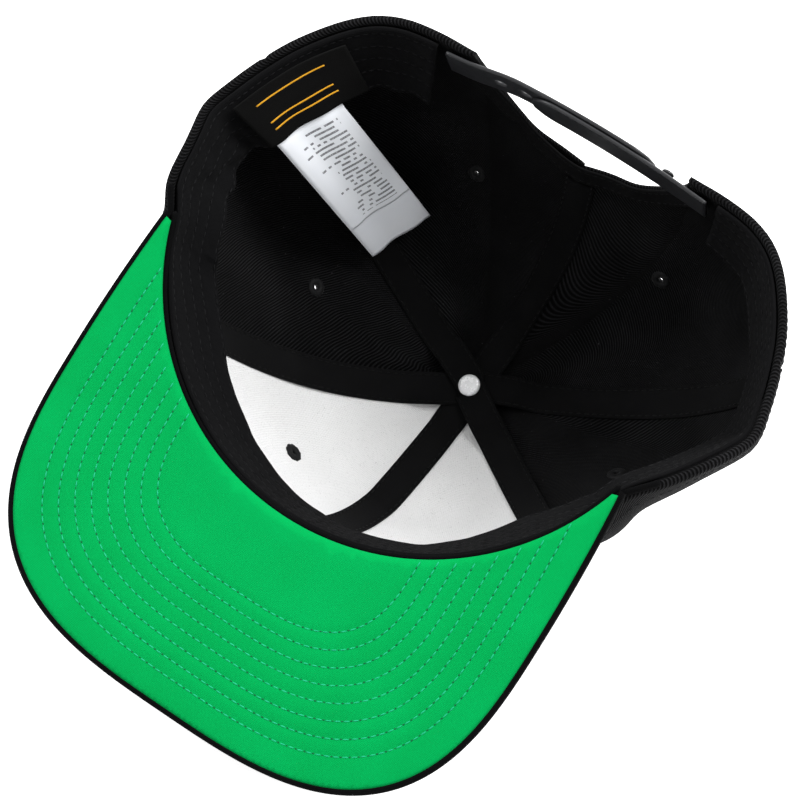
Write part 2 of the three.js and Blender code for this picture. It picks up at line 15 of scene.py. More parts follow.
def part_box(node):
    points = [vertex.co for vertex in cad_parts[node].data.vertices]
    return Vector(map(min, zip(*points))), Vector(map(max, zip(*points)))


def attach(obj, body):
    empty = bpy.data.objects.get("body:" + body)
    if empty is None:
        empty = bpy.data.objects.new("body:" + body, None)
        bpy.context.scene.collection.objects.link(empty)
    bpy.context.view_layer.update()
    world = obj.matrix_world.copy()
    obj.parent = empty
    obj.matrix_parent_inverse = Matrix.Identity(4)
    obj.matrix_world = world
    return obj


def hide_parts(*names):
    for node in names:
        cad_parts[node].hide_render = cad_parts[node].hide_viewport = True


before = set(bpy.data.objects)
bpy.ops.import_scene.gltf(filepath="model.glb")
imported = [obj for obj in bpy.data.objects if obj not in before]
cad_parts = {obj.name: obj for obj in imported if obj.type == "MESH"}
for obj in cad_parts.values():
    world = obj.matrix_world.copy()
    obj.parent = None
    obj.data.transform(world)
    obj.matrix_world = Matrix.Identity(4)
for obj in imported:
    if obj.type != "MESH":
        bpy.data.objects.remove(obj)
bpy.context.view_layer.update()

# Visor.
VISOR_WIDTH = 184.8
VISOR_TAPER = 2.0
VISOR_SHOULDER = 50.0
VISOR_REACH = 136.0
VISOR_SQUARENESS = 3.05
VISOR_TIP_Y = 4.0
VISOR_THICKNESS = 3.6
COVER_WALL = 1.7
PIPING_WIDTH = 2.2
FRONT_ARC_RADIUS = 91.0
FRONT_ARC_CENTRE_Y = 30.5
STITCH_ROWS = 8
FIRST_ROW = 11.0
ROW_SPACING = 5.1

# Crown.
RIM_CENTRE_Y = 23.0
RIM_CENTRE_DROP = 18.0
BACK_SINK = 36.0
BACK_REACH = 83.5
RIM_SET_BACK = 3.1
CROWN_HEIGHT = 113.0
APEX_FORWARD = 15.5
APEX_ASIDE = 7.0
AXIS_BEND = 1.7
FRONT_FULLNESS = 2.75
SIDE_FULLNESS = 2.45
BACK_FULLNESS = 2.5
PANEL_SWELL = 0.012
BULGE = 0.07
BULGE_ANGLE = 72.0
BULGE_SPREAD = 11.0
BULGE_SCALE = 12.2
CREASE_DEPTH = 2.6
SWAY = 6.0
SWAY_LENGTH = 40.0
SEAMS = (0.0, 58.5, 113.0, 180.0)
PRESS_LEVEL = 115.191
PRESS_SOFTNESS = 1.5

# Cloth walls.
GAP = 0.3
PANEL_WALL = 1.4
HEM_WALL = 3.2
HEM_DEPTH = 8.0
LINER_WALL = 1.0
TAPE_WALL = 0.8
TAPE_WIDTH = 12.5
SHANK_HOLE = 2.3

# Sweatband, half-moon opening and strap.
BAND_WALL = 1.6
BAND_WIDTH = 31.0
BAND_EDGE = 0.8
LEAN_ANGLES = (-150, -103, -95, -86, -74, -60, -35, 7, 30, 50, 68, 88, 150)
BAND_LEANS = (0.42, 0.42, 0.24, 0.29, 0.42, 0.35, 0.26, 0.1, 0.18, 0.28, 0.4, 0.18, 0.18)
BAND_END = 146.0
ARCH_HALF = 43.0
ARCH_HEIGHT = 47.0
ARCH_TAPE = 9.0
STRAP_HEIGHT = 19.0
STRAP_WALL = 1.4
STRAP_HALF_SPAN = 52.0
STRAP_BOW = 2.6
STRAP_PLAY = 1.6
STRAP_PITCH = 9.5
OUTER_STRAP_END = 30.0
INNER_STRAP_END = -19.0
FIRST_HOLE = 25.0
HOLE_COUNT = 7
PEG_COUNT = 6

REST_TIP = math.radians(30.0)
REST_SHIFT = np.array([-6.03, -6.224, PRESS_LEVEL])
DOWN = np.array([0.0, -math.sin(REST_TIP), -math.cos(REST_TIP)])

# Rim behind the visor's tips: degrees from the front seam, reach in millimetres.
RIM_ANGLES = (77.5, 84.5, 92, 99.3, 105, 113, 118, 123, 129, 134, 139, 152, 166, 180)
RIM_REACHES = (95.3, 99, 104.5, 111.5, 111.2, 111.7, 112.2, 112.2, 112.2, 111.2, 108, 94.4, 86, 83.5)


def rested(points):
    """Millimetres with the visor level to metres as the cap lies on the table."""
    points = np.asarray(points, dtype=float)
    x, y, z = points[..., 0], points[..., 1], points[..., 2]
    c, s = math.cos(REST_TIP), math.sin(REST_TIP)
    return (np.stack([x, c * y - s * z, s * y + c * z], axis=-1) + REST_SHIFT) / 1000


def smooth(t):
    s = np.clip(t, 0, 1)
    return s * s * (3 - 2 * s)


def away_from_front(angle):
    turn = np.abs(angle) % 360
    return np.where(turn > 180, 360 - turn, turn)


def front_reach(turn):
    shift = FRONT_ARC_CENTRE_Y - RIM_CENTRE_Y
    radius = FRONT_ARC_RADIUS + RIM_SET_BACK
    along = shift * np.cos(np.radians(turn))
    return np.sqrt(along * along - shift * shift + radius * radius) - along


def sharp_reach(angle):
    turn = away_from_front(angle)
    reaches = (float(front_reach(RIM_ANGLES[0])),) + RIM_REACHES[1:]
    behind = np.interp(turn, RIM_ANGLES, reaches)
    return np.where(turn <= RIM_ANGLES[0], front_reach(np.minimum(turn, RIM_ANGLES[0])), behind)


def rim_reach(angle):
    """The rim's reach with the corners of its table rounded off."""
    steps = ((-2.6, 0.1), (-1.3, 0.25), (0.0, 0.3), (1.3, 0.25), (2.6, 0.1))
    return sum(share * sharp_reach(angle + step) for step, share in steps)


def rim_point(angle):
    reach = rim_reach(angle)
    turn = np.radians(angle)
    x = reach * np.sin(turn)
    y = RIM_CENTRE_Y - reach * np.cos(turn)
    sink = np.maximum(VISOR_THICKNESS + GAP, BACK_SINK * y / (RIM_CENTRE_Y + BACK_REACH))
    return x + SWAY * smooth(y / SWAY_LENGTH), y, -sink


def fullness(angle):
    lean = np.cos(np.radians(angle))
    end = np.where(lean > 0, FRONT_FULLNESS, BACK_FULLNESS)
    return SIDE_FULLNESS + (end - SIDE_FULLNESS) * lean * lean


def swell(angle):
    turn = away_from_front(angle)
    place = np.interp(turn, SEAMS, (0.0, 1.0, 2.0, 3.0))
    return PANEL_SWELL * np.sin(np.pi * place) ** 2


def bulge(angle, up):
    """The crown swells out under the visor's tips, most at a fifth of its height, where
    BULGE_SCALE * up * (1 - up) ** 4 comes to 1."""
    near = (away_from_front(angle) - BULGE_ANGLE) / BULGE_SPREAD
    return BULGE * np.exp(-near * near) * BULGE_SCALE * up * (1 - up) ** 4


def shell(angle, rise):
    """Outer face of the crown: rise runs from 0 at the rim to a quarter turn at the apex."""
    power = 2 / fullness(angle)
    up = np.sin(rise) ** power
    out = np.maximum(1e-9, np.cos(rise)) ** power
    out = out * (1 + swell(angle) * np.sin(2 * rise) + bulge(angle, up))
    x, y, z = rim_point(angle)
    point = np.stack(np.broadcast_arrays(
        x * out + APEX_ASIDE * up ** AXIS_BEND,
        RIM_CENTRE_Y + (y - RIM_CENTRE_Y) * out - APEX_FORWARD * up ** AXIS_BEND,
        -RIM_CENTRE_DROP - CROWN_HEIGHT * up + (z + RIM_CENTRE_DROP) * out,
    ), axis=-1)
    over = point @ DOWN - PRESS_LEVEL
    soft = (over + PRESS_SOFTNESS) ** 2 / (4 * PRESS_SOFTNESS)
    cut = np.where(over > PRESS_SOFTNESS, over, np.where(over > -PRESS_SOFTNESS, soft, 0.0))
    return point - cut[..., None] * DOWN


def unit(vectors):
    length = np.linalg.norm(vectors, axis=-1, keepdims=True)
    return vectors / np.maximum(length, 1e-12)


def inward(angle, rise):
    """Unit vectors into the hollow, square to the crown's face."""
    step = 0.01
    low = np.clip(rise, step, math.pi / 2 - 3 * step)
    along = shell(angle, low + step) - shell(angle, low - step)
    around = shell(angle + 1.0, low) - shell(angle - 1.0, low)
    return unit(np.cross(around, along))


def crease(angle, rise):
    """Soft dents of the unlined panels, in millimetres towards the hollow."""
    turn = away_from_front(angle)
    soft = smooth((turn - SEAMS[1]) / 14) * smooth(rise / 0.35) * smooth((1.5 - rise) / 0.35)
    a = np.radians(angle)
    waves = 0.55 + 0.3 * np.sin(5.1 * a + 3.1 * rise + 0.7) + 0.25 * np.sin(8.3 * a - 5.2 * rise + 2.1)
    waves = waves + 0.16 * np.sin(15.7 * a + 9.3 * rise + 4.4)
    return soft * np.maximum(0.0, waves) * CREASE_DEPTH


def layer(angle, rise, depth):
    angle, rise = np.broadcast_arrays(np.asarray(angle, float), np.asarray(rise, float))
    depth = np.asarray(depth, float) + crease(angle, rise)
    return shell(angle, rise) + inward(angle, rise) * depth[..., None]


def rise_at(angle, depth):
    return np.arcsin(np.clip(np.asarray(depth, float) / CROWN_HEIGHT, 0, 1) ** (fullness(angle) / 2))


def rise_near_apex(angle, radius):
    return np.arccos((radius / rim_reach(angle)) ** (fullness(angle) / 2))


def edge_depth(angle):
    """Depth at which the crown's cloth starts: nil, or the half-moon's edge."""
    turn = away_from_front(angle)
    across = np.abs(BACK_REACH * np.tan(np.radians(180 - np.maximum(turn, 95))))
    inside = np.clip(1 - (across / ARCH_HALF) ** 2, 0, 1)
    return np.where(turn < 95, 0.0, ARCH_HEIGHT * np.sqrt(inside))


def even_rises(angle, first, last, shares):
    """For each angle, rises whose way along the crown is the given shares of the whole way."""
    rows = []
    for one, low, high in zip(angle, first, last):
        fine = low + (high - low) * (1 - (1 - np.linspace(0, 1, 240)) ** 1.6)
        steps = np.linalg.norm(np.diff(shell(np.full(240, one), fine), axis=0), axis=1)
        way = np.concatenate([[0], np.cumsum(steps)])
        rows.append(np.interp(np.asarray(shares) * way[-1], way, fine))
    return np.array(rows)


# Meshes.


def path_length(points, axis):
    steps = np.linalg.norm(np.diff(points, axis=axis), axis=-1)
    start = np.zeros_like(np.take(steps, [0], axis=axis))
    return np.concatenate([start, np.cumsum(steps, axis=axis)], axis=axis)


def cloth_uv(face):
    """Flat coordinates in millimetres: across from the middle column, and along the columns."""
    across = path_length(face, 0)
    across = across - across[face.shape[0] // 2][None, :]
    return np.stack([across, path_length(face, 1)], axis=-1)


def placed(name, data):
    piece = bpy.data.objects.new(name, data)
    bpy.context.scene.collection.objects.link(piece)
    return piece


def make_plain(piece, modifier):
    """Puts a modifier's result in place of the piece's own mesh."""
    graph = bpy.context.evaluated_depsgraph_get()
    made = bpy.data.meshes.new_from_object(piece.evaluated_get(graph))
    piece.modifiers.remove(modifier)
    piece.data = made


def solid(name, points, faces, uvs, material):
    mesh = bpy.data.meshes.new(name)
    mesh.from_pydata(rested(points).tolist(), [], faces)
    mesh.update()
    flat = mesh.uv_layers.new(name="UVMap")
    corners = np.empty(len(mesh.loops), dtype=np.int32)
    mesh.loops.foreach_get("vertex_index", corners)
    flat.data.foreach_set("uv", np.asarray(uvs, dtype=np.float32)[corners].ravel())
    mesh.polygons.foreach_set("use_smooth", np.ones(len(mesh.polygons), dtype=bool))
    piece = placed(name, mesh)
    mesh.materials.append(material)
    face_outwards(mesh)
    return piece


def face_outwards(mesh):
    work = bmesh.new()
    work.from_mesh(mesh)
    bmesh.ops.recalc_face_normals(work, faces=work.faces)
    if work.calc_volume(signed=True) < 0:
        bmesh.ops.reverse_faces(work, faces=work.faces)
    work.to_mesh(mesh)
    work.free()


def sheet(name, outer, inner, material, uv=None):
    """A closed sheet between two grids of points of the same columns and rows."""
    columns, rows = outer.shape[:2]
    uv = cloth_uv(outer) if uv is None else uv
    points = np.concatenate([outer.reshape(-1, 3), inner.reshape(-1, 3)])
    uvs = np.concatenate([uv.reshape(-1, 2), uv.reshape(-1, 2)])
    at = np.arange(columns * rows).reshape(columns, rows)
    back = at + columns * rows

    def quads(a, b, c, d):
        return np.stack([a, b, c, d], axis=-1).reshape(-1, 4).tolist()

    faces = quads(at[:-1, :-1], at[:-1, 1:], at[1:, 1:], at[1:, :-1])
    faces += quads(back[:-1, :-1], back[1:, :-1], back[1:, 1:], back[:-1, 1:])
    for row in (0, rows - 1):
        faces += quads(at[:-1, row], at[1:, row], back[1:, row], back[:-1, row])
    for column in (0, columns - 1):
        faces += quads(at[column, :-1], back[column, :-1], back[column, 1:], at[column, 1:])
    return solid(name, points, faces, uvs, material)


def rounding(distance, radius, least=0.08):
    """Share of a wall's thickness left at a distance from its edge, for a rolled edge."""
    inside = np.clip(1 - distance / radius, 0, 1)
    return np.maximum(least, np.sqrt(1 - inside * inside))


def edge_shares(count, length, fine):
    """Shares of a length with extra points in its first few millimetres."""
    near = np.array(fine) / length
    return np.concatenate([near, np.linspace(near[-1], 1, count + 1)[1:]])


# Finishes.


class Level:
    """A number over a surface; arithmetic on it adds Math nodes."""

    def __init__(self, finish, socket):
        self.finish = finish
        self.socket = socket

    def __add__(self, other):
        return self.finish.math("ADD", self, other)

    __radd__ = __add__

    def __sub__(self, other):
        return self.finish.math("SUBTRACT", self, other)

    def __rsub__(self, other):
        return self.finish.math("SUBTRACT", other, self)

    def __mul__(self, other):
        return self.finish.math("MULTIPLY", self, other)

    __rmul__ = __mul__

    def __truediv__(self, other):
        return self.finish.math("DIVIDE", self, other)


class Finish:
    """A node material around one Principled shader."""

    def __init__(self, name, **constants):
        self.material = bpy.data.materials.new(name)
        self.material.use_nodes = True
        self.tree = self.material.node_tree
        self.tree.nodes.clear()
        self.shader = self.tree.nodes.new("ShaderNodeBsdfPrincipled")
        output = self.tree.nodes.new("ShaderNodeOutputMaterial")
        self.tree.links.new(self.shader.outputs[0], output.inputs[0])
        for socket, value in constants.items():
            self.set(socket.replace("_", " "), value)

    def plug(self, socket, value):
        if isinstance(value, Level):
            self.tree.links.new(value.socket, socket)
        elif value is not None:
            socket.default_value = value

    def set(self, socket, value):
        self.plug(self.shader.inputs[socket], value)

    def node(self, kind, settings=None, sockets=None, output=0, stops=None):
        node = self.tree.nodes.new("ShaderNode" + kind)
        for key, value in (settings or {}).items():
            setattr(node, key, value)
        if stops:
            ramp = node.color_ramp.elements
            while len(ramp) < len(stops):
                ramp.new(1.0)
            for element, (place, colour) in zip(ramp, stops):
                element.position = place
                element.color = colour
        for key, value in (sockets or {}).items():
            self.plug(node.inputs[key], value)
        return Level(self, node.outputs[output])

    def math(self, operation, *values):
        return self.node("Math", {"operation": operation}, dict(enumerate(values)))

    def cloth(self):
        """Across and along the cloth, in millimetres."""
        flat = self.node("UVMap", {"uv_map": "UVMap"})
        apart = self.node("SeparateXYZ", None, {0: flat})
        return apart, Level(self, apart.socket.node.outputs[1])

    def noise(self, vector, scale, detail=3.0, roughness=0.55):
        return self.node("TexNoise", None, {"Vector": vector, "Scale": scale, "Detail": detail,
                                            "Roughness": roughness})

    def place(self):
        return self.node("TexCoord", None, None, output="Object")

    def mix(self, share, first, second):
        node = self.tree.nodes.new("ShaderNodeMix")
        node.data_type = "RGBA"
        self.plug(node.inputs[0], share)
        self.plug(node.inputs[6], first)
        self.plug(node.inputs[7], second)
        return Level(self, node.outputs[2])

    def spread(self, value, low, high, to_low=0.0, to_high=1.0):
        return self.node("MapRange", None, {"Value": value, "From Min": low, "From Max": high,
                                            "To Min": to_low, "To Max": to_high})

    def bump(self, height, distance, strength=1.0):
        self.set("Normal", self.node("Bump", None, {"Height": height, "Distance": distance,
                                                    "Strength": strength}))


def twill(name, dark, light, pitch, slant=1.0, depth=0.00035):
    finish = Finish(name, Sheen_Weight=0.008, Sheen_Roughness=0.5, Specular_IOR_Level=0.07)
    across, along = finish.cloth()
    place = finish.place()
    drift = finish.noise(place, 60.0, 2.0) * (0.5 * pitch)
    phase = (across * slant + along + drift) * (2 * math.pi / (pitch * math.sqrt(1 + slant * slant)))
    ribs = finish.math("SINE", phase) * 0.5 + 0.5
    turns = finish.math("SINE", (across - along * slant) * (2 * math.pi / (pitch * 0.9))) * 0.5 + 0.5
    fuzz = finish.noise(place, 2600.0, 4.0, 0.7)
    broad_patches = finish.noise(place, 35.0, 3.0)
    height = ribs + turns * 0.3 + fuzz * 0.5
    # Colour: rib peaks painted lighter as a painted highlight and the valleys between them darker as
    # painted shade, mixed with fibre fuzz and broad random patches lighter and darker.
    share = finish.spread(ribs * 0.6 + fuzz * 0.7 + broad_patches * 0.6, 0.62, 1.5)
    lint = finish.spread(finish.noise(place, 900.0, 1.0), 0.76, 0.82)
    cloth = finish.mix(share * share, dark, light)
    finish.set("Base Color", finish.mix(lint, cloth, (0.05, 0.05, 0.052, 1)))
    finish.set("Roughness", finish.spread(ribs, 0.0, 1.0, 0.92, 0.74))
    finish.bump(height, depth)
    return finish.material


def plain_weave(name, dark, light, pitch, depth=0.00012, specks=0.0, sheen=0.03, gloss=0.12):
    finish = Finish(name, Sheen_Weight=sheen, Sheen_Roughness=0.5, Specular_IOR_Level=gloss)
    across, along = finish.cloth()
    place = finish.place()
    scale = 2 * math.pi / pitch
    warp = finish.math("SINE", across * scale) * 0.5 + 0.5
    weft = finish.math("SINE", along * scale) * 0.5 + 0.5
    fuzz = finish.noise(place, 2200.0, 4.0, 0.7)
    broad_patches = finish.noise(place, 45.0, 4.0)
    share = finish.spread(warp * 0.25 + weft * 0.25 + fuzz * 0.5 + broad_patches * 0.5, 0.4, 1.1)
    colour = finish.mix(share, dark, light)
    if specks:
        fleck = finish.noise(place, 2600.0, 1.0)
        colour = finish.mix(finish.spread(fleck, 0.64, 0.8, 0.0, specks), colour, (0.3, 0.3, 0.3, 1))
    finish.set("Base Color", colour)
    finish.set("Roughness", finish.spread(fuzz, 0.3, 0.7, 0.82, 0.95))
    finish.bump(warp * weft + fuzz * 0.6, depth)
    return finish.material


PRINT_PITCH = 2.3
PRINT_HEIGHT_SHARE = 0.42
PRINT_LEAN = 0.37
WORD_PITCH = 1.3
WORD_GAP_SHARE = 0.22
PRINT_START = -8.5
LINE_END_SPREAD = 9
LINE_END_LEAST = 1.5
PRINT_TOP = 24.0
PRINT_FOOT = 74.0


def printed_satin():
    """White ribbon with rows of plain grey dashes, as small print looks from afar."""
    finish = Finish("white_label_satin", Sheen_Weight=0.05, Specular_IOR_Level=0.3)
    across, along = finish.cloth()
    row = finish.math("FLOOR", along / PRINT_PITCH)
    in_row = finish.math("LESS_THAN", finish.math("FRACT", along / PRINT_PITCH), PRINT_HEIGHT_SHARE)
    word = finish.math("FLOOR", (across + row * PRINT_LEAN) / WORD_PITCH)
    spot = finish.node("CombineXYZ", None, {0: word, 1: row})
    chance = finish.node("TexWhiteNoise", None, {"Vector": spot})
    written = finish.math("GREATER_THAN", chance, WORD_GAP_SHARE)
    line_length = finish.node("TexWhiteNoise", {"noise_dimensions": "1D"}, {"W": row})
    line_end = line_length * LINE_END_SPREAD + LINE_END_LEAST
    inside = finish.math("GREATER_THAN", across, PRINT_START) * finish.math("LESS_THAN", across, line_end)
    below = finish.math("GREATER_THAN", along, PRINT_TOP) * finish.math("LESS_THAN", along, PRINT_FOOT)
    fuzz = finish.noise(finish.place(), 2500.0)
    ink = in_row * written * inside * below * finish.spread(fuzz, 0.35, 0.5, 0.4, 0.85)
    soft = finish.noise(finish.place(), 60.0)
    white = finish.mix(soft, (0.87, 0.9, 0.96, 1), (0.93, 0.95, 0.98, 1))
    finish.set("Base Color", finish.mix(ink, white, (0.05, 0.05, 0.06, 1)))
    finish.set("Roughness", finish.spread(fuzz, 0.3, 0.7, 0.5, 0.62))
    finish.bump(fuzz, 0.00003)
    return finish.material


def thread(name, dark, light):
    finish = Finish(name, Sheen_Weight=0.03, Specular_IOR_Level=0.15)
    fuzz = finish.noise(finish.place(), 3200.0, 3.0)
    finish.set("Base Color", finish.mix(finish.spread(fuzz, 0.3, 0.7), dark, light))
    finish.set("Roughness", finish.spread(fuzz, 0.3, 0.7, 0.5, 0.75))
    finish.bump(fuzz, 0.00008)
    return finish.material


def moulded_plastic():
    finish = Finish("dark_moulded_plastic", Specular_IOR_Level=0.5)
    grain = finish.noise(finish.place(), 900.0, 3.0)
    smear = finish.noise(finish.place(), 70.0, 3.0)
    finish.set("Base Color", finish.mix(smear, (0.012, 0.0125, 0.014, 1), (0.024, 0.025, 0.028, 1)))
    finish.set("Roughness", finish.spread(smear, 0.3, 0.7, 0.34, 0.48))
    finish.bump(grain, 0.00003)
    return finish.material


def bright_metal():
    finish = Finish("bright_rivet_metal", Metallic=0.2, Specular_IOR_Level=0.7)
    smear = finish.noise(finish.place(), 500.0, 4.0)
    finish.set("Base Color", finish.mix(smear, (0.88, 0.89, 0.9, 1), (0.97, 0.97, 0.98, 1)))
    finish.set("Roughness", finish.spread(smear, 0.3, 0.7, 0.16, 0.34))
    finish.bump(smear, 0.00004)
    return finish.material


# Its lighter colour lands on the rib peaks as a painted highlight on the black twill.
CROWN_TWILL = twill("black_crown_twill", (0.0004, 0.0004, 0.0005, 1), (0.026, 0.026, 0.028, 1), 0.95)
BAND_COTTON = plain_weave("black_band_cotton", (0.0015, 0.0015, 0.0018, 1), (0.006, 0.006, 0.0066, 1),
                          0.45, gloss=0.06, sheen=0.012)
TAPE_COTTON = plain_weave("black_tape_cotton", (0.001, 0.001, 0.0011, 1), (0.0085, 0.0085, 0.009, 1),
                          0.4, gloss=0.06, sheen=0.012)
PIPING_COTTON = plain_weave("black_piping_cotton", (0.001, 0.001, 0.001, 1), (0.004, 0.004, 0.0045, 1),
                            0.5, gloss=0.04, sheen=0.005)
VISOR_GREEN = plain_weave("green_visor_cotton", (0.0, 0.29, 0.056, 1), (0.0, 0.40, 0.094, 1),
                          0.5, 0.00008, sheen=0.0, gloss=0.05)
BUCKRAM = plain_weave("white_buckram", (0.72, 0.72, 0.72, 1), (0.86, 0.86, 0.86, 1), 0.7, 0.00012, 0.8, 0.0)
WOVEN_BLACK = plain_weave("black_label_weave", (0.0015, 0.0015, 0.0015, 1), (0.006, 0.006, 0.006, 1),
                          0.3, gloss=0.06, sheen=0.01)
SATIN_WHITE = printed_satin()
BLACK_THREAD = thread("black_sewing_thread", (0.002, 0.002, 0.0023, 1), (0.009, 0.009, 0.0105, 1))
EYELET_THREAD = thread("black_eyelet_thread", (0.002, 0.002, 0.002, 1), (0.01, 0.01, 0.011, 1))
# Tape stitch thread: black thread darkened below the tape's own colour as painted shade in the needle
# holes.
SHADED_TAPE_THREAD = thread("tape_thread_painted_shade", (0.0003, 0.0003, 0.0003, 1), (0.002, 0.002, 0.0022, 1))
GREEN_THREAD = thread("green_sewing_thread", (0.0, 0.36, 0.16, 1), (0.02, 0.52, 0.26, 1))
NEEDLE_SHADE = thread("needle_hole_shade", (0.0, 0.09, 0.03, 1), (0.0, 0.14, 0.05, 1))
GOLD_THREAD = thread("gold_label_thread", (0.62, 0.28, 0.01, 1), (0.9, 0.45, 0.03, 1))
STRAP_PLASTIC = moulded_plastic()
RIVET_METAL = bright_metal()


def stands_for(piece, *nodes):
    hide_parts(*nodes)
    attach(piece, "root")
    return piece


# Stitches: short rounded threads along paths that lie on the cloth.


def stitch_tree():
    tree = bpy.data.node_groups.new("stitches_along_paths", "GeometryNodeTree")
    made = tree.interface.new_socket
    made("Paths", in_out="INPUT", socket_type="NodeSocketGeometry")
    for name in ("Pitch", "Stitch length", "Thread width", "Thread rise"):
        made(name, in_out="INPUT", socket_type="NodeSocketFloat")
    made("Thread", in_out="INPUT", socket_type="NodeSocketMaterial")
    made("Stitches", in_out="OUTPUT", socket_type="NodeSocketGeometry")
    nodes, links = tree.nodes, tree.links

    def node(kind, **settings):
        one = nodes.new(kind)
        for key, value in settings.items():
            setattr(one, key, value)
        return one

    given = node("NodeGroupInput").outputs
    curve = node("GeometryNodeMeshToCurve")
    links.new(given["Paths"], curve.inputs[0])
    even = node("GeometryNodeResampleCurve", mode="LENGTH")
    links.new(curve.outputs[0], even.inputs["Curve"])
    links.new(given["Pitch"], even.inputs["Length"])
    tangent = node("GeometryNodeInputTangent")
    facing = node("GeometryNodeInputNamedAttribute", data_type="FLOAT_VECTOR")
    facing.inputs["Name"].default_value = "facing"
    turn = node("FunctionNodeAxesToRotation", primary_axis="X", secondary_axis="Z")
    links.new(tangent.outputs[0], turn.inputs[0])
    links.new(facing.outputs[0], turn.inputs[1])
    bead = node("GeometryNodeMeshUVSphere")
    bead.inputs["Segments"].default_value = 6
    bead.inputs["Rings"].default_value = 5
    bead.inputs["Radius"].default_value = 0.5
    lay = node("GeometryNodeTransform")
    lay.inputs["Rotation"].default_value = (0.0, math.pi / 2, 0.0)
    links.new(bead.outputs[0], lay.inputs[0])
    size = node("ShaderNodeCombineXYZ")
    for socket, name in enumerate(("Stitch length", "Thread width", "Thread rise")):
        links.new(given[name], size.inputs[socket])
    copies = node("GeometryNodeInstanceOnPoints")
    links.new(even.outputs[0], copies.inputs["Points"])
    links.new(lay.outputs[0], copies.inputs["Instance"])
    links.new(turn.outputs[0], copies.inputs["Rotation"])
    links.new(size.outputs[0], copies.inputs["Scale"])
    real = node("GeometryNodeRealizeInstances")
    links.new(copies.outputs[0], real.inputs[0])
    coat = node("GeometryNodeSetMaterial")
    links.new(real.outputs[0], coat.inputs[0])
    links.new(given["Thread"], coat.inputs["Material"])
    links.new(coat.outputs[0], node("NodeGroupOutput").inputs[0])
    return tree


STITCHES = stitch_tree()


def stitches(name, paths, material, pitch=3.0, length=2.1, width=0.5, rise=0.4):
    """paths: pairs of points along the cloth and the directions the cloth faces there, millimetres."""
    points, facings, edges = [], [], []
    for way, facing in paths:
        first = sum(len(block) for block in points)
        points.append(rested(way))
        facings.append(rested(way + facing) - rested(way))
        edges += [(first + k, first + k + 1) for k in range(len(way) - 1)]
    points = np.concatenate(points)
    facings = unit(np.concatenate(facings))
    mesh = bpy.data.meshes.new(name)
    mesh.from_pydata(points.tolist(), edges, [])
    attribute = mesh.attributes.new("facing", "FLOAT_VECTOR", "POINT")
    attribute.data.foreach_set("vector", facings.astype(np.float32).ravel())
    guide = placed(name, mesh)
    modifier = guide.modifiers.new("stitches", "NODES")
    modifier.node_group = STITCHES
    values = {"Pitch": pitch / 1000, "Stitch length": length / 1000, "Thread width": width / 1000,
              "Thread rise": rise / 1000, "Thread": material}
    for item in STITCHES.interface.items_tree:
        if item.in_out == "INPUT" and item.name in values:
            modifier[item.identifier] = values[item.name]
    guide.data.update()
    make_plain(guide, modifier)
    guide.data.polygons.foreach_set("use_smooth", np.ones(len(guide.data.polygons), dtype=bool))
    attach(guide, "root")
    return guide


# Crown panels.

ARCH_EDGE_ANGLE = 180 - math.degrees(math.atan2(ARCH_HALF + 1.5, BACK_REACH))
SEAM_STEPS = (0.02, 0.5, 1.0, 1.7, 2.6)
USUAL_REACH = 112
USUAL_WAY = 150.0
SEAM_DIP = 0.75
TOPSTITCH_DIP = 0.22
HEM_ROWS = (0, 0.15, 0.4, 0.8, 1.3, 2.0, 3.0, 4.5, 6.0, 7.2, 8.0, 8.7, 9.6, 11)


def panel_columns(panel):
    if panel == "front":
        return np.linspace(SEAMS[0], SEAMS[1], 45)
    if panel == "side":
        return np.linspace(SEAMS[1], SEAMS[2], 41)
    before = np.linspace(SEAMS[2], ARCH_EDGE_ANGLE, 24)
    swing = np.radians(np.linspace(89.0, 0.0, 34))
    arch = 180 - np.degrees(np.arctan(np.sin(swing) * ARCH_HALF / BACK_REACH))
    return np.concatenate([before, arch])


def make_panel(panel, side, hand):
    columns = panel_columns(panel)
    fine = np.array(SEAM_STEPS) / USUAL_REACH * math.degrees(1)
    if panel != "back":
        inner = columns[(columns > columns[0] + fine[-1]) & (columns < columns[-1] - fine[-1])]
        columns = np.concatenate([columns[0] + fine, inner, (columns[-1] - fine)[::-1]])
    else:
        inner = columns[(columns > columns[0] + fine[-1]) & (columns < columns[-1] - 1.6)]
        back_seam = columns[-1] - np.array([1.2, 0.7, 0.35, 0.02])
        columns = np.concatenate([columns[0] + fine, inner, back_seam])
    angles = hand * columns
    start = edge_depth(angles)
    first = rise_at(angles, start)
    last = rise_near_apex(angles, SHANK_HOLE)
    shares = edge_shares(60, USUAL_WAY, HEM_ROWS)
    rises = even_rises(angles, first, last, shares)
    around = angles[:, None]
    bare = shell(around, rises)
    way = path_length(bare, 1)
    across = path_length(bare, 0)
    from_seam = np.minimum(across, across[-1][None, :] - across)
    hemmed = smooth((ARCH_EDGE_ANGLE + 1.5 - np.abs(around)) / 2.5)
    wall = PANEL_WALL + (HEM_WALL - PANEL_WALL) * hemmed * smooth(HEM_DEPTH + 0.9 - way)
    rolled = rounding(way, np.where(hemmed > 0.5, 1.7, 0.75))
    middle = wall / 2
    seam_dip = SEAM_DIP * np.exp(-((from_seam / 1.15) ** 2)) * smooth((way + 2) / 5)
    topstitch_dip = TOPSTITCH_DIP * np.exp(-(((from_seam - 5.0) / 0.8) ** 2)) * smooth((way - 10) / 4)
    outer = layer(around, rises, middle - middle * rolled + seam_dip + topstitch_dip)
    inner_face = layer(around, rises, middle + (wall - middle) * rolled)
    uv = np.stack([across - across[len(columns) // 2][None, :], way], axis=-1)
    if hand < 0:
        uv[..., 0] *= -1
    piece = sheet(f"twill_panel_{panel}_{side}", outer, inner_face, CROWN_TWILL, uv)
    stands_for(piece, f"crown_{panel}_{side}")


for side, hand in (("left", -1), ("right", 1)):
    for panel in ("front", "side", "back"):
        make_panel(panel, side, hand)


# Topstitching outside: a row either side of each seam, and one round the hem.

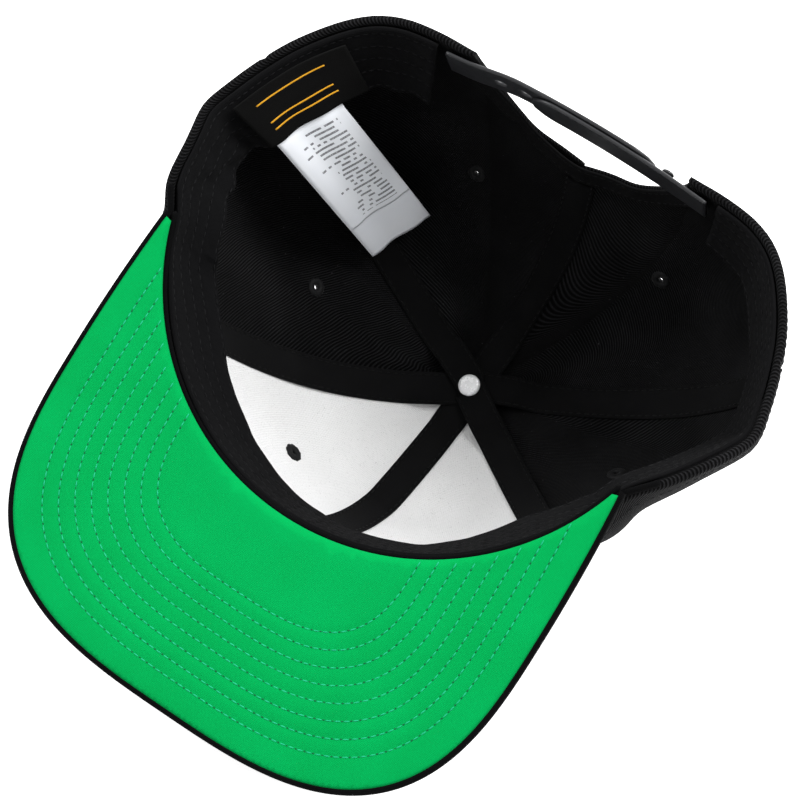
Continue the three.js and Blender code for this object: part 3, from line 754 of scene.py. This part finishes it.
paths = []
for seam in (0.0, SEAMS[1], SEAMS[2], 180.0, -SEAMS[1], -SEAMS[2]):
    for hand in (-1, 1):
        high = float(rise_near_apex(seam, 8.5))
        low = float(rise_at(seam, float(edge_depth(np.array(seam))) + 3.0))
        rises = even_rises([seam], [low], [high], np.linspace(0, 1, 70))[0]
        before, after = (shell(np.full(70, seam + half), rises) for half in (-0.5, 0.5))
        wide = np.linalg.norm(after - before, axis=-1)
        line = seam + hand * np.minimum(4.6, wide * 9) / np.maximum(wide, 0.2)
        paths.append((layer(line, rises, 0.05), -inward(line, rises)))
for first, last in ((-ARCH_EDGE_ANGLE, -80), (-79, 79), (80, ARCH_EDGE_ANGLE)):
    line = np.linspace(first + 1, last - 1, 150)
    rises = rise_at(line, np.full(150, 7.0))
    paths.append((layer(line, rises, 0.0), -inward(line, rises)))
stitches("crown_topstitches", paths, BLACK_THREAD)


# White stiffeners behind the front panels.


def make_liner(side, hand):
    angles = hand * np.linspace(0.25, SEAMS[1] - 0.4, 40)
    first = rise_at(angles, np.full_like(angles, 10.0))
    last = rise_near_apex(angles, 9.0)
    shares = np.linspace(0, 1, 52)
    rises = even_rises(angles, first, last, shares)
    around = angles[:, None]
    low = PANEL_WALL + 0.25
    ripple = 0.12 * np.sin(np.radians(around * 9) + rises * 7)
    ripple = ripple + 0.08 * np.sin(np.radians(around * 23) - rises * 13)
    outer = layer(around, rises, low + 0 * rises)
    inner_face = layer(around, rises, low + LINER_WALL + ripple)
    stands_for(sheet(f"buckram_{side}", outer, inner_face, BUCKRAM), f"liner_{side}")


make_liner("left", -1)
make_liner("right", 1)


# Seam tapes from rim to rim, crossing under the rivet.

TAPE_FLOOR = PANEL_WALL + 0.25 + LINER_WALL + 0.35
TAPE_STEP = 1.5
TAPES = (("middle", 0.0, 180.0, 0), ("left", -SEAMS[1], SEAMS[2], 1), ("right", SEAMS[1], -SEAMS[2], 2))


def tape_half(angle):
    """Rises along one half of a tape's middle line, from the rim to the apex."""
    start = float(edge_depth(np.array(angle)))
    low = float(rise_at(angle, start + ARCH_TAPE + 1.0 if start > 0 else HEM_DEPTH + 1.2))
    high = float(rise_near_apex(angle, 1.2))
    return even_rises([angle], [low], [high], np.linspace(0, 1, 90))[0]


def tape_line(angle, order):
    rises = tape_half(angle)
    radius = np.cos(rises) ** (2 / fullness(angle)) * rim_reach(angle)
    raised = smooth((27 - radius) / 12)
    low = PANEL_WALL + 0.3
    lined = 1.0 if abs(angle) <= SEAMS[1] else 0.0
    depth = low + (TAPE_FLOOR - low) * np.maximum(lined, raised) + (order * TAPE_STEP + 0.5) * raised
    return rises, radius, depth


def tape_points(angle, order, offsets, above):
    """Points across a half tape: offsets to the wearer's right as seen going from rim to apex."""
    rises, radius, depth = tape_line(angle, order)
    centre = layer(angle, rises, depth)
    around = unit(layer(angle + 0.5, rises, depth) - layer(angle - 0.5, rises, depth))
    into = inward(angle, rises)
    reach = np.linalg.norm(layer(angle + 0.5, rises, depth) - layer(angle - 0.5, rises, depth), axis=-1)
    apex_side = around[np.argmin(np.abs(radius - 20))]
    near = smooth((24 - radius) / 8)[:, None]
    columns = []
    for offset, lift in zip(offsets, above):
        turned = layer(angle + offset / np.maximum(reach, 0.2), rises, depth + lift)
        straight = centre + around * (1 - near) * offset + apex_side * near * offset + into * lift
        columns.append(turned * (1 - near) + straight * near)
    return np.stack(columns, axis=1), into


def make_tape(name, start, end, order):
    half = TAPE_WIDTH / 2
    shares = (-1, -0.985, -0.94, -0.86, -0.8, -0.6, -0.3, 0, 0.3, 0.6, 0.8, 0.86, 0.94, 0.985, 1)
    offsets = np.array(shares) * half
    edge = half - np.abs(offsets)
    puff = 0.18 * np.cos(offsets / half * math.pi / 2) - 0.22 * np.exp(-(((edge - 1.2) / 0.5) ** 2))
    top = TAPE_WALL * rounding(edge, 0.5, 0.3) + puff
    under = np.zeros_like(offsets)
    sides = []
    for lift in (under, top):
        first, _ = tape_points(start, order, offsets, lift)
        second, _ = tape_points(end, order, -offsets, lift)
        sides.append(np.concatenate([first, second[::-1]]).transpose(1, 0, 2))
    stands_for(sheet(f"cotton_tape_{name}", sides[0], sides[1], TAPE_COTTON), f"seam_tape_{name}")
    paths = []
    for row in (-1, 1):
        place = np.array([row * (half - 1.2)])
        first, into = tape_points(start, order, place, np.array([TAPE_WALL - 0.05]))
        second, back = tape_points(end, order, -place, np.array([TAPE_WALL - 0.05]))
        paths.append((np.concatenate([first[:, 0], second[::-1, 0]]), np.concatenate([into, back[::-1]])))
    # These stitches are painted darker than the tape: painted shade in the needle holes.
    stitches(f"tape_stitches_{name}", paths, SHADED_TAPE_THREAD, pitch=3.1, length=2.2, rise=0.42)


for name, start, end, order in TAPES:
    make_tape(name, start, end, order)


# Turned parts at the apex: cloth-covered button outside, bright rivet inside.

ring = shell(np.array([0.0, 90, 180, 270]), rise_near_apex(np.array([0.0, 90, 180, 270]), SHANK_HOLE))
APEX = ring.mean(axis=0)
CAP_AXIS = unit(np.array([APEX_ASIDE, -APEX_FORWARD, -CROWN_HEIGHT]))


HOLE_REACH = 6
EYELET_HOLE = 1.6
SNAP_HOLE = 2.7


def cut_hole(piece, point, axis, radius):
    """Cuts a round hole through a piece."""
    profile = [(radius, -HOLE_REACH), (radius, HOLE_REACH)]
    cutter = turned_piece("hole_cutter", profile, STRAP_PLASTIC, point, axis, 28)
    cut = piece.modifiers.new("hole", "BOOLEAN")
    cut.operation = "DIFFERENCE"
    cut.object = cutter
    cut.solver = "EXACT"
    make_plain(piece, cut)
    bpy.data.objects.remove(cutter)


def turned_piece(name, profile, material, point, axis, sides=40, hollow=False):
    """A lathe shape; profile rows are radius and height along the axis. A hollow one is a ring."""
    axis = unit(np.asarray(axis, float))
    side = unit(np.cross(axis, [0.3, 1.0, 0.2]))
    other = np.cross(axis, side)
    points, faces, uvs = [], [], []
    way = path_length(np.array(profile, float)[None, :, :], 1)[0]
    for (radius, height), along in zip(profile, way):
        for k in range(sides):
            turn = 2 * math.pi * k / sides
            ragged = 0.035 * math.sin(9 * turn) + 0.03 * math.sin(17 * turn + 1) if hollow else 0.0
            around = (side * math.cos(turn) + other * math.sin(turn)) * radius * (1 + ragged)
            points.append(point + axis * height + around)
            uvs.append((radius * math.cos(turn), radius * math.sin(turn)) if material is not EYELET_THREAD
                       else (turn * 10, along))
    rows = len(profile)
    for j in range(rows if hollow else rows - 1):
        for k in range(sides):
            a, b = j * sides + k, j * sides + (k + 1) % sides
            step = ((j + 1) % rows - j) * sides
            faces.append((a, b, b + step, a + step))
    if not hollow:
        faces.append(tuple(range(sides)))
        faces.append(tuple(range((rows - 1) * sides, rows * sides)))
    return solid(name, np.array(points), faces, np.array(uvs), material)


TAPES_TOP = TAPE_FLOOR + 0.5 + 2 * TAPE_STEP + TAPE_WALL + 0.5
button = [(0.2, -4.7), (2.4, -4.62), (4.4, -4.3), (6.0, -3.6), (7.0, -2.6), (7.45, -1.5), (7.3, -0.8),
          (6.6, -0.45), (1.6, -0.4), (1.6, TAPES_TOP - 0.3), (0.2, TAPES_TOP - 0.3)]
stands_for(turned_piece("cloth_button", button, CROWN_TWILL, APEX, -CAP_AXIS, 48), "crown_button")
rivet = [(0.1, TAPES_TOP - 0.2), (3.5, TAPES_TOP - 0.2), (4.05, TAPES_TOP), (4.25, TAPES_TOP + 0.35),
         (4.1, TAPES_TOP + 0.8), (3.6, TAPES_TOP + 1.2), (3.0, TAPES_TOP + 1.4), (2.5, TAPES_TOP + 1.42),
         (2.2, TAPES_TOP + 1.34), (1.4, TAPES_TOP + 1.3), (0.1, TAPES_TOP + 1.32)]
stands_for(turned_piece("rivet_cap", rivet, RIVET_METAL, APEX, -CAP_AXIS, 48), "button_rivet")


# Eyelets: thread worked round a small hole, proud of both faces of the cloth.

EYELETS = [(panel, side) for panel in ("front", "side", "back") for side in ("left", "right")]
for panel, side in EYELETS:
    node = f"eyelet_{panel}_{side}"
    low, high = (np.array(corner) * 1000 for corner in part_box(node))
    centre = (low + high) / 2 - REST_SHIFT
    c, s = math.cos(REST_TIP), math.sin(REST_TIP)
    level = np.array([centre[0], c * centre[1] + s * centre[2], -s * centre[1] + c * centre[2]])
    angle_grid = np.linspace(0, 180, 181) * (-1 if side == "left" else 1)
    rise_grid = np.linspace(0.2, 1.45, 200)
    cloth = layer(angle_grid[:, None], rise_grid[None, :], 1.2)
    i, j = np.unravel_index(np.argmin(np.linalg.norm(cloth - level, axis=-1)), cloth.shape[:2])
    into = inward(angle_grid[i], rise_grid[j])
    seat = layer(angle_grid[i], rise_grid[j], 0.0)
    deep = PANEL_WALL + (LINER_WALL + 0.25 if panel == "front" else 0.0)
    cut_hole(bpy.data.objects[f"twill_panel_{panel}_{side}"], seat, into, EYELET_HOLE)
    if panel == "front":
        cut_hole(bpy.data.objects[f"buckram_{side}"], seat, into, EYELET_HOLE)
    bore = 0.7 if panel == "front" else 1.0
    profile = [(bore, deep + 0.25), (1.3, deep + 0.62), (2.3, deep + 0.75), (3.1, deep + 0.6),
               (3.7, deep + 0.1), (3.6, -0.1), (3.0, -0.62), (2.2, -0.8), (1.3, -0.65), (bore, -0.2)]
    stands_for(turned_piece(f"worked_{node}", profile, EYELET_THREAD, seat, into, 44, True), node)


# Sweatband.


def band_lean(angle):
    return sum(np.interp(np.asarray(angle) + step, LEAN_ANGLES, BAND_LEANS) for step in (-3, 0, 3)) / 3


def band_wave(angle, reach):
    share = reach / BAND_WIDTH
    a = np.radians(angle)
    slack = 0.2 + 0.8 * smooth((-angle - 62) / 22)
    fine = share ** 2 * (0.7 * np.sin(21 * a + 1.1) + 0.4 * np.sin(34 * a + 0.4))
    folds = np.sin(38 * a + 0.35 * reach) + 0.5 * np.sin(71 * a)
    gathered = np.exp(-((angle + 92) / 6.5) ** 2) * share * folds
    return slack * (0.05 * np.sin(9 * a) * reach + fine) + 1.2 * gathered


def band_point(angle, reach, depth):
    angle, reach = np.broadcast_arrays(np.asarray(angle, float), np.asarray(reach, float))
    lean = band_lean(angle)
    depth = 3.4 + lean * reach + band_wave(angle, reach) + depth
    return layer(angle, rise_at(angle, reach * np.cos(np.arctan(lean))), depth)


BAND_STITCH_ROWS = (3.2, 10.0, 16.0, 22.0, 29.6)
angles = np.linspace(-BAND_END, BAND_END, 260)[:, None]
reaches = np.concatenate([
    [BAND_EDGE, 0.95, 1.2, 1.6, 2.1, 2.6],
    np.linspace(3.2, 29.0, 52),
    [29.6, 30.1, 30.5, 30.8, BAND_WIDTH],
])
rows = reaches[None, :] * np.ones_like(angles)
edge = np.minimum(rows - BAND_EDGE, BAND_WIDTH - rows)
dips = sum(0.32 * np.exp(-(((rows - row) / 0.7) ** 2)) for row in BAND_STITCH_ROWS)
wall = BAND_WALL * rounding(edge, 0.7, 0.1)
crinkle = 0.16 * np.sin(np.radians(angles * 61)) * np.sin(rows * 0.9)
crinkle = crinkle + 0.1 * np.sin(np.radians(angles * 97) + rows)
outer = band_point(angles, rows, (BAND_WALL - wall) / 2)
inner_face = band_point(angles, rows, (BAND_WALL + wall) / 2 - dips + crinkle * smooth(edge / 2))
stands_for(sheet("cotton_sweatband", outer, inner_face, BAND_COTTON), "sweatband")
paths = []
for row in BAND_STITCH_ROWS:
    line = np.linspace(-BAND_END + 1, BAND_END - 1, 240)
    paths.append((band_point(line, row, BAND_WALL - 0.2), inward(line, rise_at(line, row))))
stitches("sweatband_stitches", paths, BLACK_THREAD)


# Visor covers.


def visor_outline(inset, count=150):
    half = VISOR_WIDTH / 2 - inset
    reach = VISOR_REACH - VISOR_SHOULDER - inset
    power = 2 / VISOR_SQUARENESS
    straight = np.linspace(VISOR_TIP_Y, -VISOR_SHOULDER, 24)[:-1]
    side_x = half - VISOR_TAPER * ((straight + VISOR_SHOULDER) / VISOR_SHOULDER) ** 2
    turn = np.linspace(math.pi / 2, 0, count)
    front_x = half * np.sin(turn) ** power
    front_y = -VISOR_SHOULDER - reach * np.cos(turn) ** power
    right = np.stack([np.concatenate([side_x, front_x]), np.concatenate([straight, front_y])], axis=-1)
    left = right[:-1][::-1] * [-1, 1]
    return np.concatenate([right, left])


def resampled(line, step):
    way = path_length(line[None, :, :], 1)[0]
    count = max(2, int(round(way[-1] / step)))
    at = np.linspace(0, way[-1], count + 1)
    return np.stack([np.interp(at, way, line[:, axis]) for axis in range(line.shape[1])], axis=-1)


def front_arc(x, radius):
    return FRONT_ARC_CENTRE_Y - np.sqrt(np.maximum(0.0, radius * radius - x * x))


def arc_line(turn, radius):
    return np.stack([radius * np.sin(turn), FRONT_ARC_CENTRE_Y - radius * np.cos(turn)], axis=-1)


def on_visor(points, margin):
    return points[:, 1] < front_arc(points[:, 0], FRONT_ARC_RADIUS + margin)


STITCH_INSETS = [FIRST_ROW + ROW_SPACING * k for k in range(STITCH_ROWS)]


def cover_points():
    """Points over the visor with their height under the cloth's crest, and the count of the edge ones."""
    outer = resampled(visor_outline(PIPING_WIDTH - 0.5), 1.6)
    outer = outer[outer[:, 1] < VISOR_TIP_Y - 0.2]
    half = math.asin(min(1.0, outer[0, 0] / FRONT_ARC_RADIUS)) - 0.004
    turn = np.linspace(-half, half, 130)
    arc = arc_line(turn, FRONT_ARC_RADIUS)
    arc = arc[arc[:, 1] < VISOR_TIP_Y - 0.6]
    rim = np.concatenate([outer, arc])
    blocks, dips = [rim], [np.full(len(rim), 0.35)]
    lines = [(PIPING_WIDTH + 0.6, 0.12), (PIPING_WIDTH + 1.5, 0.0), (6.0, 0.0), (8.6, 0.0)]
    for inset in STITCH_INSETS:
        lines += [(inset - 1.0, 0.05), (inset - 0.45, 0.2), (inset, 0.3), (inset + 0.45, 0.2),
                  (inset + 1.0, 0.05), (inset + ROW_SPACING / 2, -0.05)]
    last = STITCH_INSETS[-1]
    lines += [(last + 5.5 + 4 * k, 0.0) for k in range(9)]
    for inset, dip in lines:
        line = resampled(visor_outline(inset, 90), 2.4)
        line = line[on_visor(line, 1.6)]
        blocks.append(line)
        dips.append(np.full(len(line), dip))
    return np.concatenate(blocks), np.concatenate(dips), len(rim)


def make_cover(name, node, bottom, top, material, facing_up):
    points, dips, rim = cover_points()
    edges = [(k, (k + 1) % rim) for k in range(rim)]
    flat = [Vector(p) for p in points]
    verts, _, tris, origin, _, _ = delaunay_2d_cdt(flat, edges, [list(range(rim))], 1, 1e-4)
    flat = np.array([tuple(v) for v in verts])
    dip = np.array([dips[o[0]] if o else 0.0 for o in origin])
    count = len(flat)
    high = top - dip if facing_up else np.full(count, top)
    low = np.full(count, bottom) if facing_up else bottom + dip
    upper = np.column_stack([flat, high])
    lower = np.column_stack([flat, low])
    faces = [tuple(t) for t in tris] + [tuple(count + k for k in reversed(t)) for t in tris]
    used = dict.fromkeys((a, b) for t in tris for a, b in zip(t, t[1:] + t[:1]))
    faces += [(a, b, count + b, count + a) for a, b in used if (b, a) not in used]
    points = np.concatenate([upper, lower])
    piece = solid(name, points, faces, np.concatenate([flat, flat]), material)
    stands_for(piece, node)


make_cover("green_visor_cover", "visor_under", -COVER_WALL, 0.0, VISOR_GREEN, True)
make_cover("black_visor_cover", "visor_top", -VISOR_THICKNESS, -COVER_WALL - GAP, CROWN_TWILL, False)

for name, height, facing, material in (
    ("visor_under_stitches", -0.22, 1.0, GREEN_THREAD),
    ("visor_top_stitches", -VISOR_THICKNESS + 0.22, -1.0, BLACK_THREAD),
):
    paths, shades = [], []
    for inset in STITCH_INSETS:
        line = resampled(visor_outline(inset), 3.0)
        line = line[on_visor(line, 0.8)]
        if len(line) < 4:
            continue
        way = np.column_stack([line, np.full(len(line), height)])
        up = np.tile([0.0, 0.0, facing], (len(line), 1))
        paths.append((way, up))
        shades.append((way[:-1] + (way[1:] - way[:-1]) / 2, up[:-1]))
    stitches(name, paths, material, length=2.0)
    if facing > 0:
        # Dark green beads between the stitches: painted shade in the needle holes.
        stitches("visor_needle_hole_painted_shade", shades, NEEDLE_SHADE, length=0.75, width=0.6, rise=0.22)


# A bound roll covers the join of visor, hem and band at the front.


ROLL_RADIUS = 0.95
ROLL_INSET = 0.4
ROLL_DEPTH = 2.4
TUCK_RADIUS = 1.15
TUCK_DEPTH = 1.8
TUCK_LIFT = 0.25


def ringed(name, rings, uv, material):
    """A closed piece through rings of points, one after another."""
    count, around = rings.shape[:2]
    at = np.arange(count * around).reshape(count, around)
    beside = np.roll(at, -1, axis=1)
    faces = np.stack([at[:-1], at[1:], beside[1:], beside[:-1]], axis=-1).reshape(-1, 4).tolist()
    faces += [tuple(at[0]), tuple(at[-1])]
    return solid(name, rings.reshape(-1, 3), faces, uv.reshape(-1, 2), material)


def tube(name, way, radius, material, sides=12):
    """A round roll of cloth along points, rounded off at its ends."""
    along = unit(np.gradient(way, axis=0))
    side = unit(np.cross(along, [0.0, 0.0, 1.0]))
    other = np.cross(side, along)
    turns = np.linspace(0, 2 * math.pi, sides + 1)[:-1]
    from_start = path_length(way[None], 1)[0]
    from_end = path_length(way[None, ::-1], 1)[0][::-1]
    radii = radius * rounding(np.minimum(from_start, from_end), radius)
    rim = side[:, None] * np.cos(turns)[None, :, None] + other[:, None] * np.sin(turns)[None, :, None]
    uv = np.stack(np.broadcast_arrays(turns[None, :] * radius, from_start[:, None]), axis=-1)
    return ringed(name, way[:, None] + rim * radii[:, None, None], uv, material)


roll_turn = np.radians(np.linspace(-74, 74, 220))
roll = arc_line(roll_turn, FRONT_ARC_RADIUS - ROLL_INSET)
roll = np.column_stack([roll, np.full_like(roll_turn, -ROLL_DEPTH)])
roll = roll[roll[:, 1] < VISOR_TIP_Y + 2]
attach(tube("front_join_roll", roll, ROLL_RADIUS, PIPING_COTTON), "root")


# The visor's tips are tucked under the hem with a little bound cloth.
for side, hand in (("left", -1), ("right", 1)):
    line = hand * np.linspace(70, 83.5, 50)
    tuck = layer(line, np.zeros(50), TUCK_DEPTH) + [0.0, 0.0, TUCK_LIFT]
    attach(tube(f"visor_tip_tuck_{side}", tuck, TUCK_RADIUS, PIPING_COTTON), "root")


# Piping round the visor's edge.


def make_piping():
    inner = visor_outline(PIPING_WIDTH, 110)
    outer = visor_outline(0.0, 110)
    turns = np.linspace(0, 2 * math.pi, 17)[:-1]
    out = 0.5 + 0.5 * np.sign(np.cos(turns)) * np.abs(np.cos(turns)) ** 0.8
    rise = 0.5 + 0.53 * np.sign(np.sin(turns)) * np.abs(np.sin(turns)) ** 0.8
    place = inner[:, None, :] + (outer - inner)[:, None, :] * out[None, :, None]
    heights = np.broadcast_to(-VISOR_THICKNESS + rise * VISOR_THICKNESS, place.shape[:2])
    rings = np.concatenate([place, heights[..., None]], axis=-1)
    way = path_length(outer[None, :, :], 1)[0]
    uv = np.stack(np.broadcast_arrays(turns[None, :] * 1.2, way[:, None]), axis=-1)
    stands_for(ringed("visor_edge_piping", rings, uv, PIPING_COTTON), "visor_piping")


make_piping()


# Half-moon facing tape.

arch_from = math.asin((HEM_DEPTH + 3.5) / (ARCH_HEIGHT + ARCH_TAPE))
turn = np.linspace(arch_from, math.pi - arch_from, 110)[:, None]
share = np.array([0, 0.03, 0.1, 0.2, 0.4, 0.6, 0.8, 0.9, 0.97, 1.0])[None, :]


def arch_point(turn, share, depth):
    half = ARCH_HALF + 0.2 + share * ARCH_TAPE
    high = ARCH_HEIGHT + 0.2 + share * ARCH_TAPE
    across = half * np.cos(turn)
    angle = 180 - np.degrees(np.arctan2(across, BACK_REACH))
    rise = rise_at(angle, high * np.sin(turn))
    return layer(angle, rise, depth)


edge = np.minimum(share, 1 - share) * ARCH_TAPE
top = 0.9 * rounding(edge, 0.6, 0.2) - 0.2 * np.exp(-(((edge - 1.6) / 0.5) ** 2)) + 0 * turn
outer = arch_point(turn, share, PANEL_WALL + 0.3 + 0 * top)
inner_face = arch_point(turn, share, PANEL_WALL + 0.3 + top)
stands_for(sheet("arch_facing", outer, inner_face, TAPE_COTTON), "arch_tape")
paths = []
line = np.linspace(arch_from + 0.03, math.pi - arch_from - 0.03, 90)
for row in (0.18, 0.82):
    way = arch_point(line, row, PANEL_WALL + 1.0)
    beyond = arch_point(line, row, PANEL_WALL + 2.0)
    paths.append((way, unit(beyond - way)))
stitches("arch_stitches", paths, BLACK_THREAD)


# Snap strap.

STRAP_SEAT = np.array([float(v) for v in rim_point(np.array(ARCH_EDGE_ANGLE))])
back_top = shell(np.array(180.0), np.array(0.0))
back_low = shell(np.array(180.0), rise_at(180.0, STRAP_HEIGHT))
STRAP_LEAN = math.atan2(back_top[1] - back_low[1], STRAP_HEIGHT)


def strap_place(x, v, w, outer):
    bow = STRAP_BOW * (1 - (x / STRAP_HALF_SPAN) ** 2)
    step = (STRAP_WALL + GAP) * smooth((x + STRAP_HALF_SPAN - 6) / 22) if outer else 0.0
    y = STRAP_SEAT[1] - RIM_SET_BACK - STRAP_PLAY - STRAP_WALL + bow + step + w
    z = STRAP_SEAT[2] - GAP - v
    return np.stack(np.broadcast_arrays(x + SWAY, y - v * math.tan(STRAP_LEAN), z), axis=-1)


SNAP_AXIS = np.array([0.0, math.cos(STRAP_LEAN), -math.sin(STRAP_LEAN)])


def strap_strip(name, node, sewn, free, outer):
    radius = STRAP_HEIGHT / 2
    facing = math.copysign(1.0, free - sewn)
    centre = free - facing * radius
    straight = np.linspace(sewn, centre, 60)
    tip = centre + facing * radius * np.sin(np.linspace(0, math.pi / 2, 16))[1:]
    x = np.concatenate([straight, tip])[:, None]
    past = np.clip((x - centre) * facing / radius, 0, 1)
    half = radius * np.maximum(0.06, np.sqrt(1 - past * past))
    share = np.array([-1, -0.985, -0.95, -0.88, -0.6, -0.3, 0, 0.3, 0.6, 0.88, 0.95, 0.985, 1])[None, :]
    v = radius + share * half
    edge = np.minimum((1 - np.abs(share)) * half, radius - np.maximum(0, (x - centre) * facing) + 0 * share)
    wall = STRAP_WALL * rounding(edge, 0.6, 0.45)
    middle = STRAP_WALL / 2
    near = strap_place(x, v, middle - wall / 2, outer)
    far = strap_place(x, v, middle + wall / 2, outer)
    strip = sheet(name, near, far, STRAP_PLASTIC)
    stands_for(strip, node)
    return strip


outer_strip = strap_strip("strap_with_holes", "strap_outer", -STRAP_HALF_SPAN, OUTER_STRAP_END, True)
strap_strip("strap_with_pegs", "strap_inner", STRAP_HALF_SPAN, INNER_STRAP_END, False)

for k in range(HOLE_COUNT):
    x = FIRST_HOLE - k * STRAP_PITCH
    point = strap_place(np.array(x), STRAP_HEIGHT / 2, STRAP_WALL / 2, True)
    cut_hole(outer_strip, point, SNAP_AXIS, SNAP_HOLE)

pegs = [(0.3, 0.0), (1.9, 0.0), (1.9, 2.0), (2.25, 2.25), (2.3, 2.6), (1.9, 3.1), (1.2, 3.3), (0.3, 3.35)]
for k in range(PEG_COUNT):
    x = FIRST_HOLE + (1 - k) * STRAP_PITCH
    point = strap_place(np.array(x), STRAP_HEIGHT / 2, STRAP_WALL - 0.4, False)
    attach(turned_piece(f"strap_peg_{k}", pegs, STRAP_PLASTIC, point, SNAP_AXIS, 24), "root")


# Labels sewn under the band's edge at the back left.

LABEL_DEPTH = BAND_WALL + 2.8
LABEL_WALL = 0.6
GOLD_WIDTH = 0.7
GOLD_LINES = ((6.8, -106.0, -121.5), (16.8, -105.8, -121.0), (20.4, -105.6, -121.2))


def label_lift(angle, reach):
    return 0.15 * np.sin(np.radians(angle * 14)) * (reach / 26)


angles = np.linspace(-102.5, -127.0, 40)[:, None]
reach = np.linspace(1.6, 26.6, 26)[None, :]
lift = label_lift(angles, reach)
outer = band_point(angles, reach, LABEL_DEPTH + lift)
inner_face = band_point(angles, reach, LABEL_DEPTH + lift + LABEL_WALL)
stands_for(sheet("woven_label_cloth", outer, inner_face, WOVEN_BLACK), "woven_label")


def label_bar(name, reach_at, angle_from, angle_to, width, material):
    line = np.linspace(angle_from, angle_to, 40)[:, None]
    rows = np.array([-width / 2, -width / 4, 0, width / 4, width / 2])[None, :]
    lift = label_lift(line, reach_at)
    high = 0.12 * np.array([0.2, 0.9, 1.0, 0.9, 0.2])[None, :]
    low = band_point(line, reach_at + rows, LABEL_DEPTH + lift + 0.45)
    top = band_point(line, reach_at + rows, LABEL_DEPTH + lift + LABEL_WALL + high)
    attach(sheet(name, low, top, material), "root")


for k, (reach_at, first, last) in enumerate(GOLD_LINES):
    label_bar(f"gold_line_{k}", reach_at, first, last, GOLD_WIDTH, GOLD_THREAD)

CARE_ANGLE = -112.0
CARE_WIDTH = 32.0


def care_frame():
    edge = band_point(CARE_ANGLE, BAND_WIDTH, 0.0)
    fall = unit(edge - band_point(CARE_ANGLE, 1.6, 0.0))
    back = unit(layer(CARE_ANGLE, rise_at(CARE_ANGLE, BAND_WIDTH), 0.0) - edge)
    turn = math.degrees(CARE_WIDTH / 2 / float(rim_reach(CARE_ANGLE)))
    face = unit(band_point(CARE_ANGLE, BAND_WIDTH, 1.0) - edge)
    return fall, back, face, turn


def care_surface(lift, across_shares, reaches):
    """Points of a hanging label: sewn flat on the band, then falling free."""
    fall, back, face, turn = care_frame()
    columns = []
    for side in across_shares:
        angle = CARE_ANGLE + side * turn
        spots = []
        way = fall
        last_reach = None
        for reach in reaches:
            if reach <= BAND_WIDTH + 0.5:
                spots.append(band_point(angle, reach, lift))
            else:
                step = reach - last_reach
                way = unit(way + back * 0.003 * step)
                spots.append(spots[-1] + way * step)
            last_reach = reach
        columns.append(np.array(spots))
    return np.array(columns), face


for name, node, length, lift in (
    ("care_label_front", "care_label_upper", 84.0, BAND_WALL + 1.4),
    ("care_label_behind", "care_label_lower", 106.0, BAND_WALL + 0.6),
):
    reaches = np.concatenate([np.linspace(6.0, 31.5, 20), np.linspace(31.5, length, 50)[1:]])
    sides = np.linspace(-1, 1, 21)
    low, face = care_surface(lift, sides, reaches)
    free = smooth((reaches - 40) / 30)[None, :, None]
    ripple = 0.5 * np.sin(sides * 2.3 + 0.4)[:, None, None] * free
    low = low + face * ripple
    label = stands_for(sheet(name, low, low + face * 0.4, SATIN_WHITE), node)


# Camera at the photograph's angle.

CAMERA_AT = np.array([151.795, 0.239, 675.151])
VIEW = np.array([-0.20246, -0.01264, -0.97921])
IMAGE_RIGHT = np.array([0.83109, 0.52667, -0.17863])


def tipped(direction):
    return unit(rested(np.asarray(direction) * 1000) - rested(np.zeros(3)))


view = tipped(VIEW)
right = tipped(IMAGE_RIGHT)
right = unit(right - view * (right @ view))
up = np.cross(right, view)
lens = bpy.data.cameras.new("photo_camera")
lens.lens = 96.0
lens.sensor_width = 36.0
lens.clip_end = 50.0
camera = placed("photo_camera", lens)
turn = Matrix((right, up, -view)).transposed().to_4x4()
camera.matrix_world = Matrix.Translation(Vector(rested(CAMERA_AT))) @ turn
bpy.context.scene.camera = camera


# Floor and light.

floor_mesh = bpy.data.meshes.new("studio_floor")
floor_mesh.from_pydata([(-6, -6, 0), (6, -6, 0), (6, 6, 0), (-6, 6, 0)], [], [(0, 1, 2, 3)])
floor = placed("studio_floor", floor_mesh)
floor_finish = Finish("white_floor", Roughness=0.9, Specular_IOR_Level=0.1, Emission_Strength=0.6)
floor_finish.set("Base Color", (0.93, 0.93, 0.93, 1))
floor_finish.set("Emission Color", (1, 1, 1, 1))
floor_mesh.materials.append(floor_finish.material)


def area_light(name, place, aim, size, power):
    data = bpy.data.lights.new(name, "AREA")
    data.shape = "DISK"
    data.size = size
    data.energy = power
    lamp = placed(name, data)
    lamp.location = place
    lamp.rotation_euler = (Vector(aim) - Vector(place)).to_track_quat("-Z", "Y").to_euler()


area_light("key_light", (0.7, 1.2, 2.0), (0, 0, 0.08), 1.4, 62.0)
area_light("side_light", (-1.6, -0.2, 1.3), (0, 0, 0.08), 1.0, 22.0)

world = bpy.data.worlds.new("pale_studio")
world.use_nodes = True
background = world.node_tree.nodes["Background"].inputs
background["Color"].default_value = (1, 1, 1, 1)
background["Strength"].default_value = 0.66
bpy.context.scene.world = world
bpy.context.scene.view_settings.view_transform = "Standard"
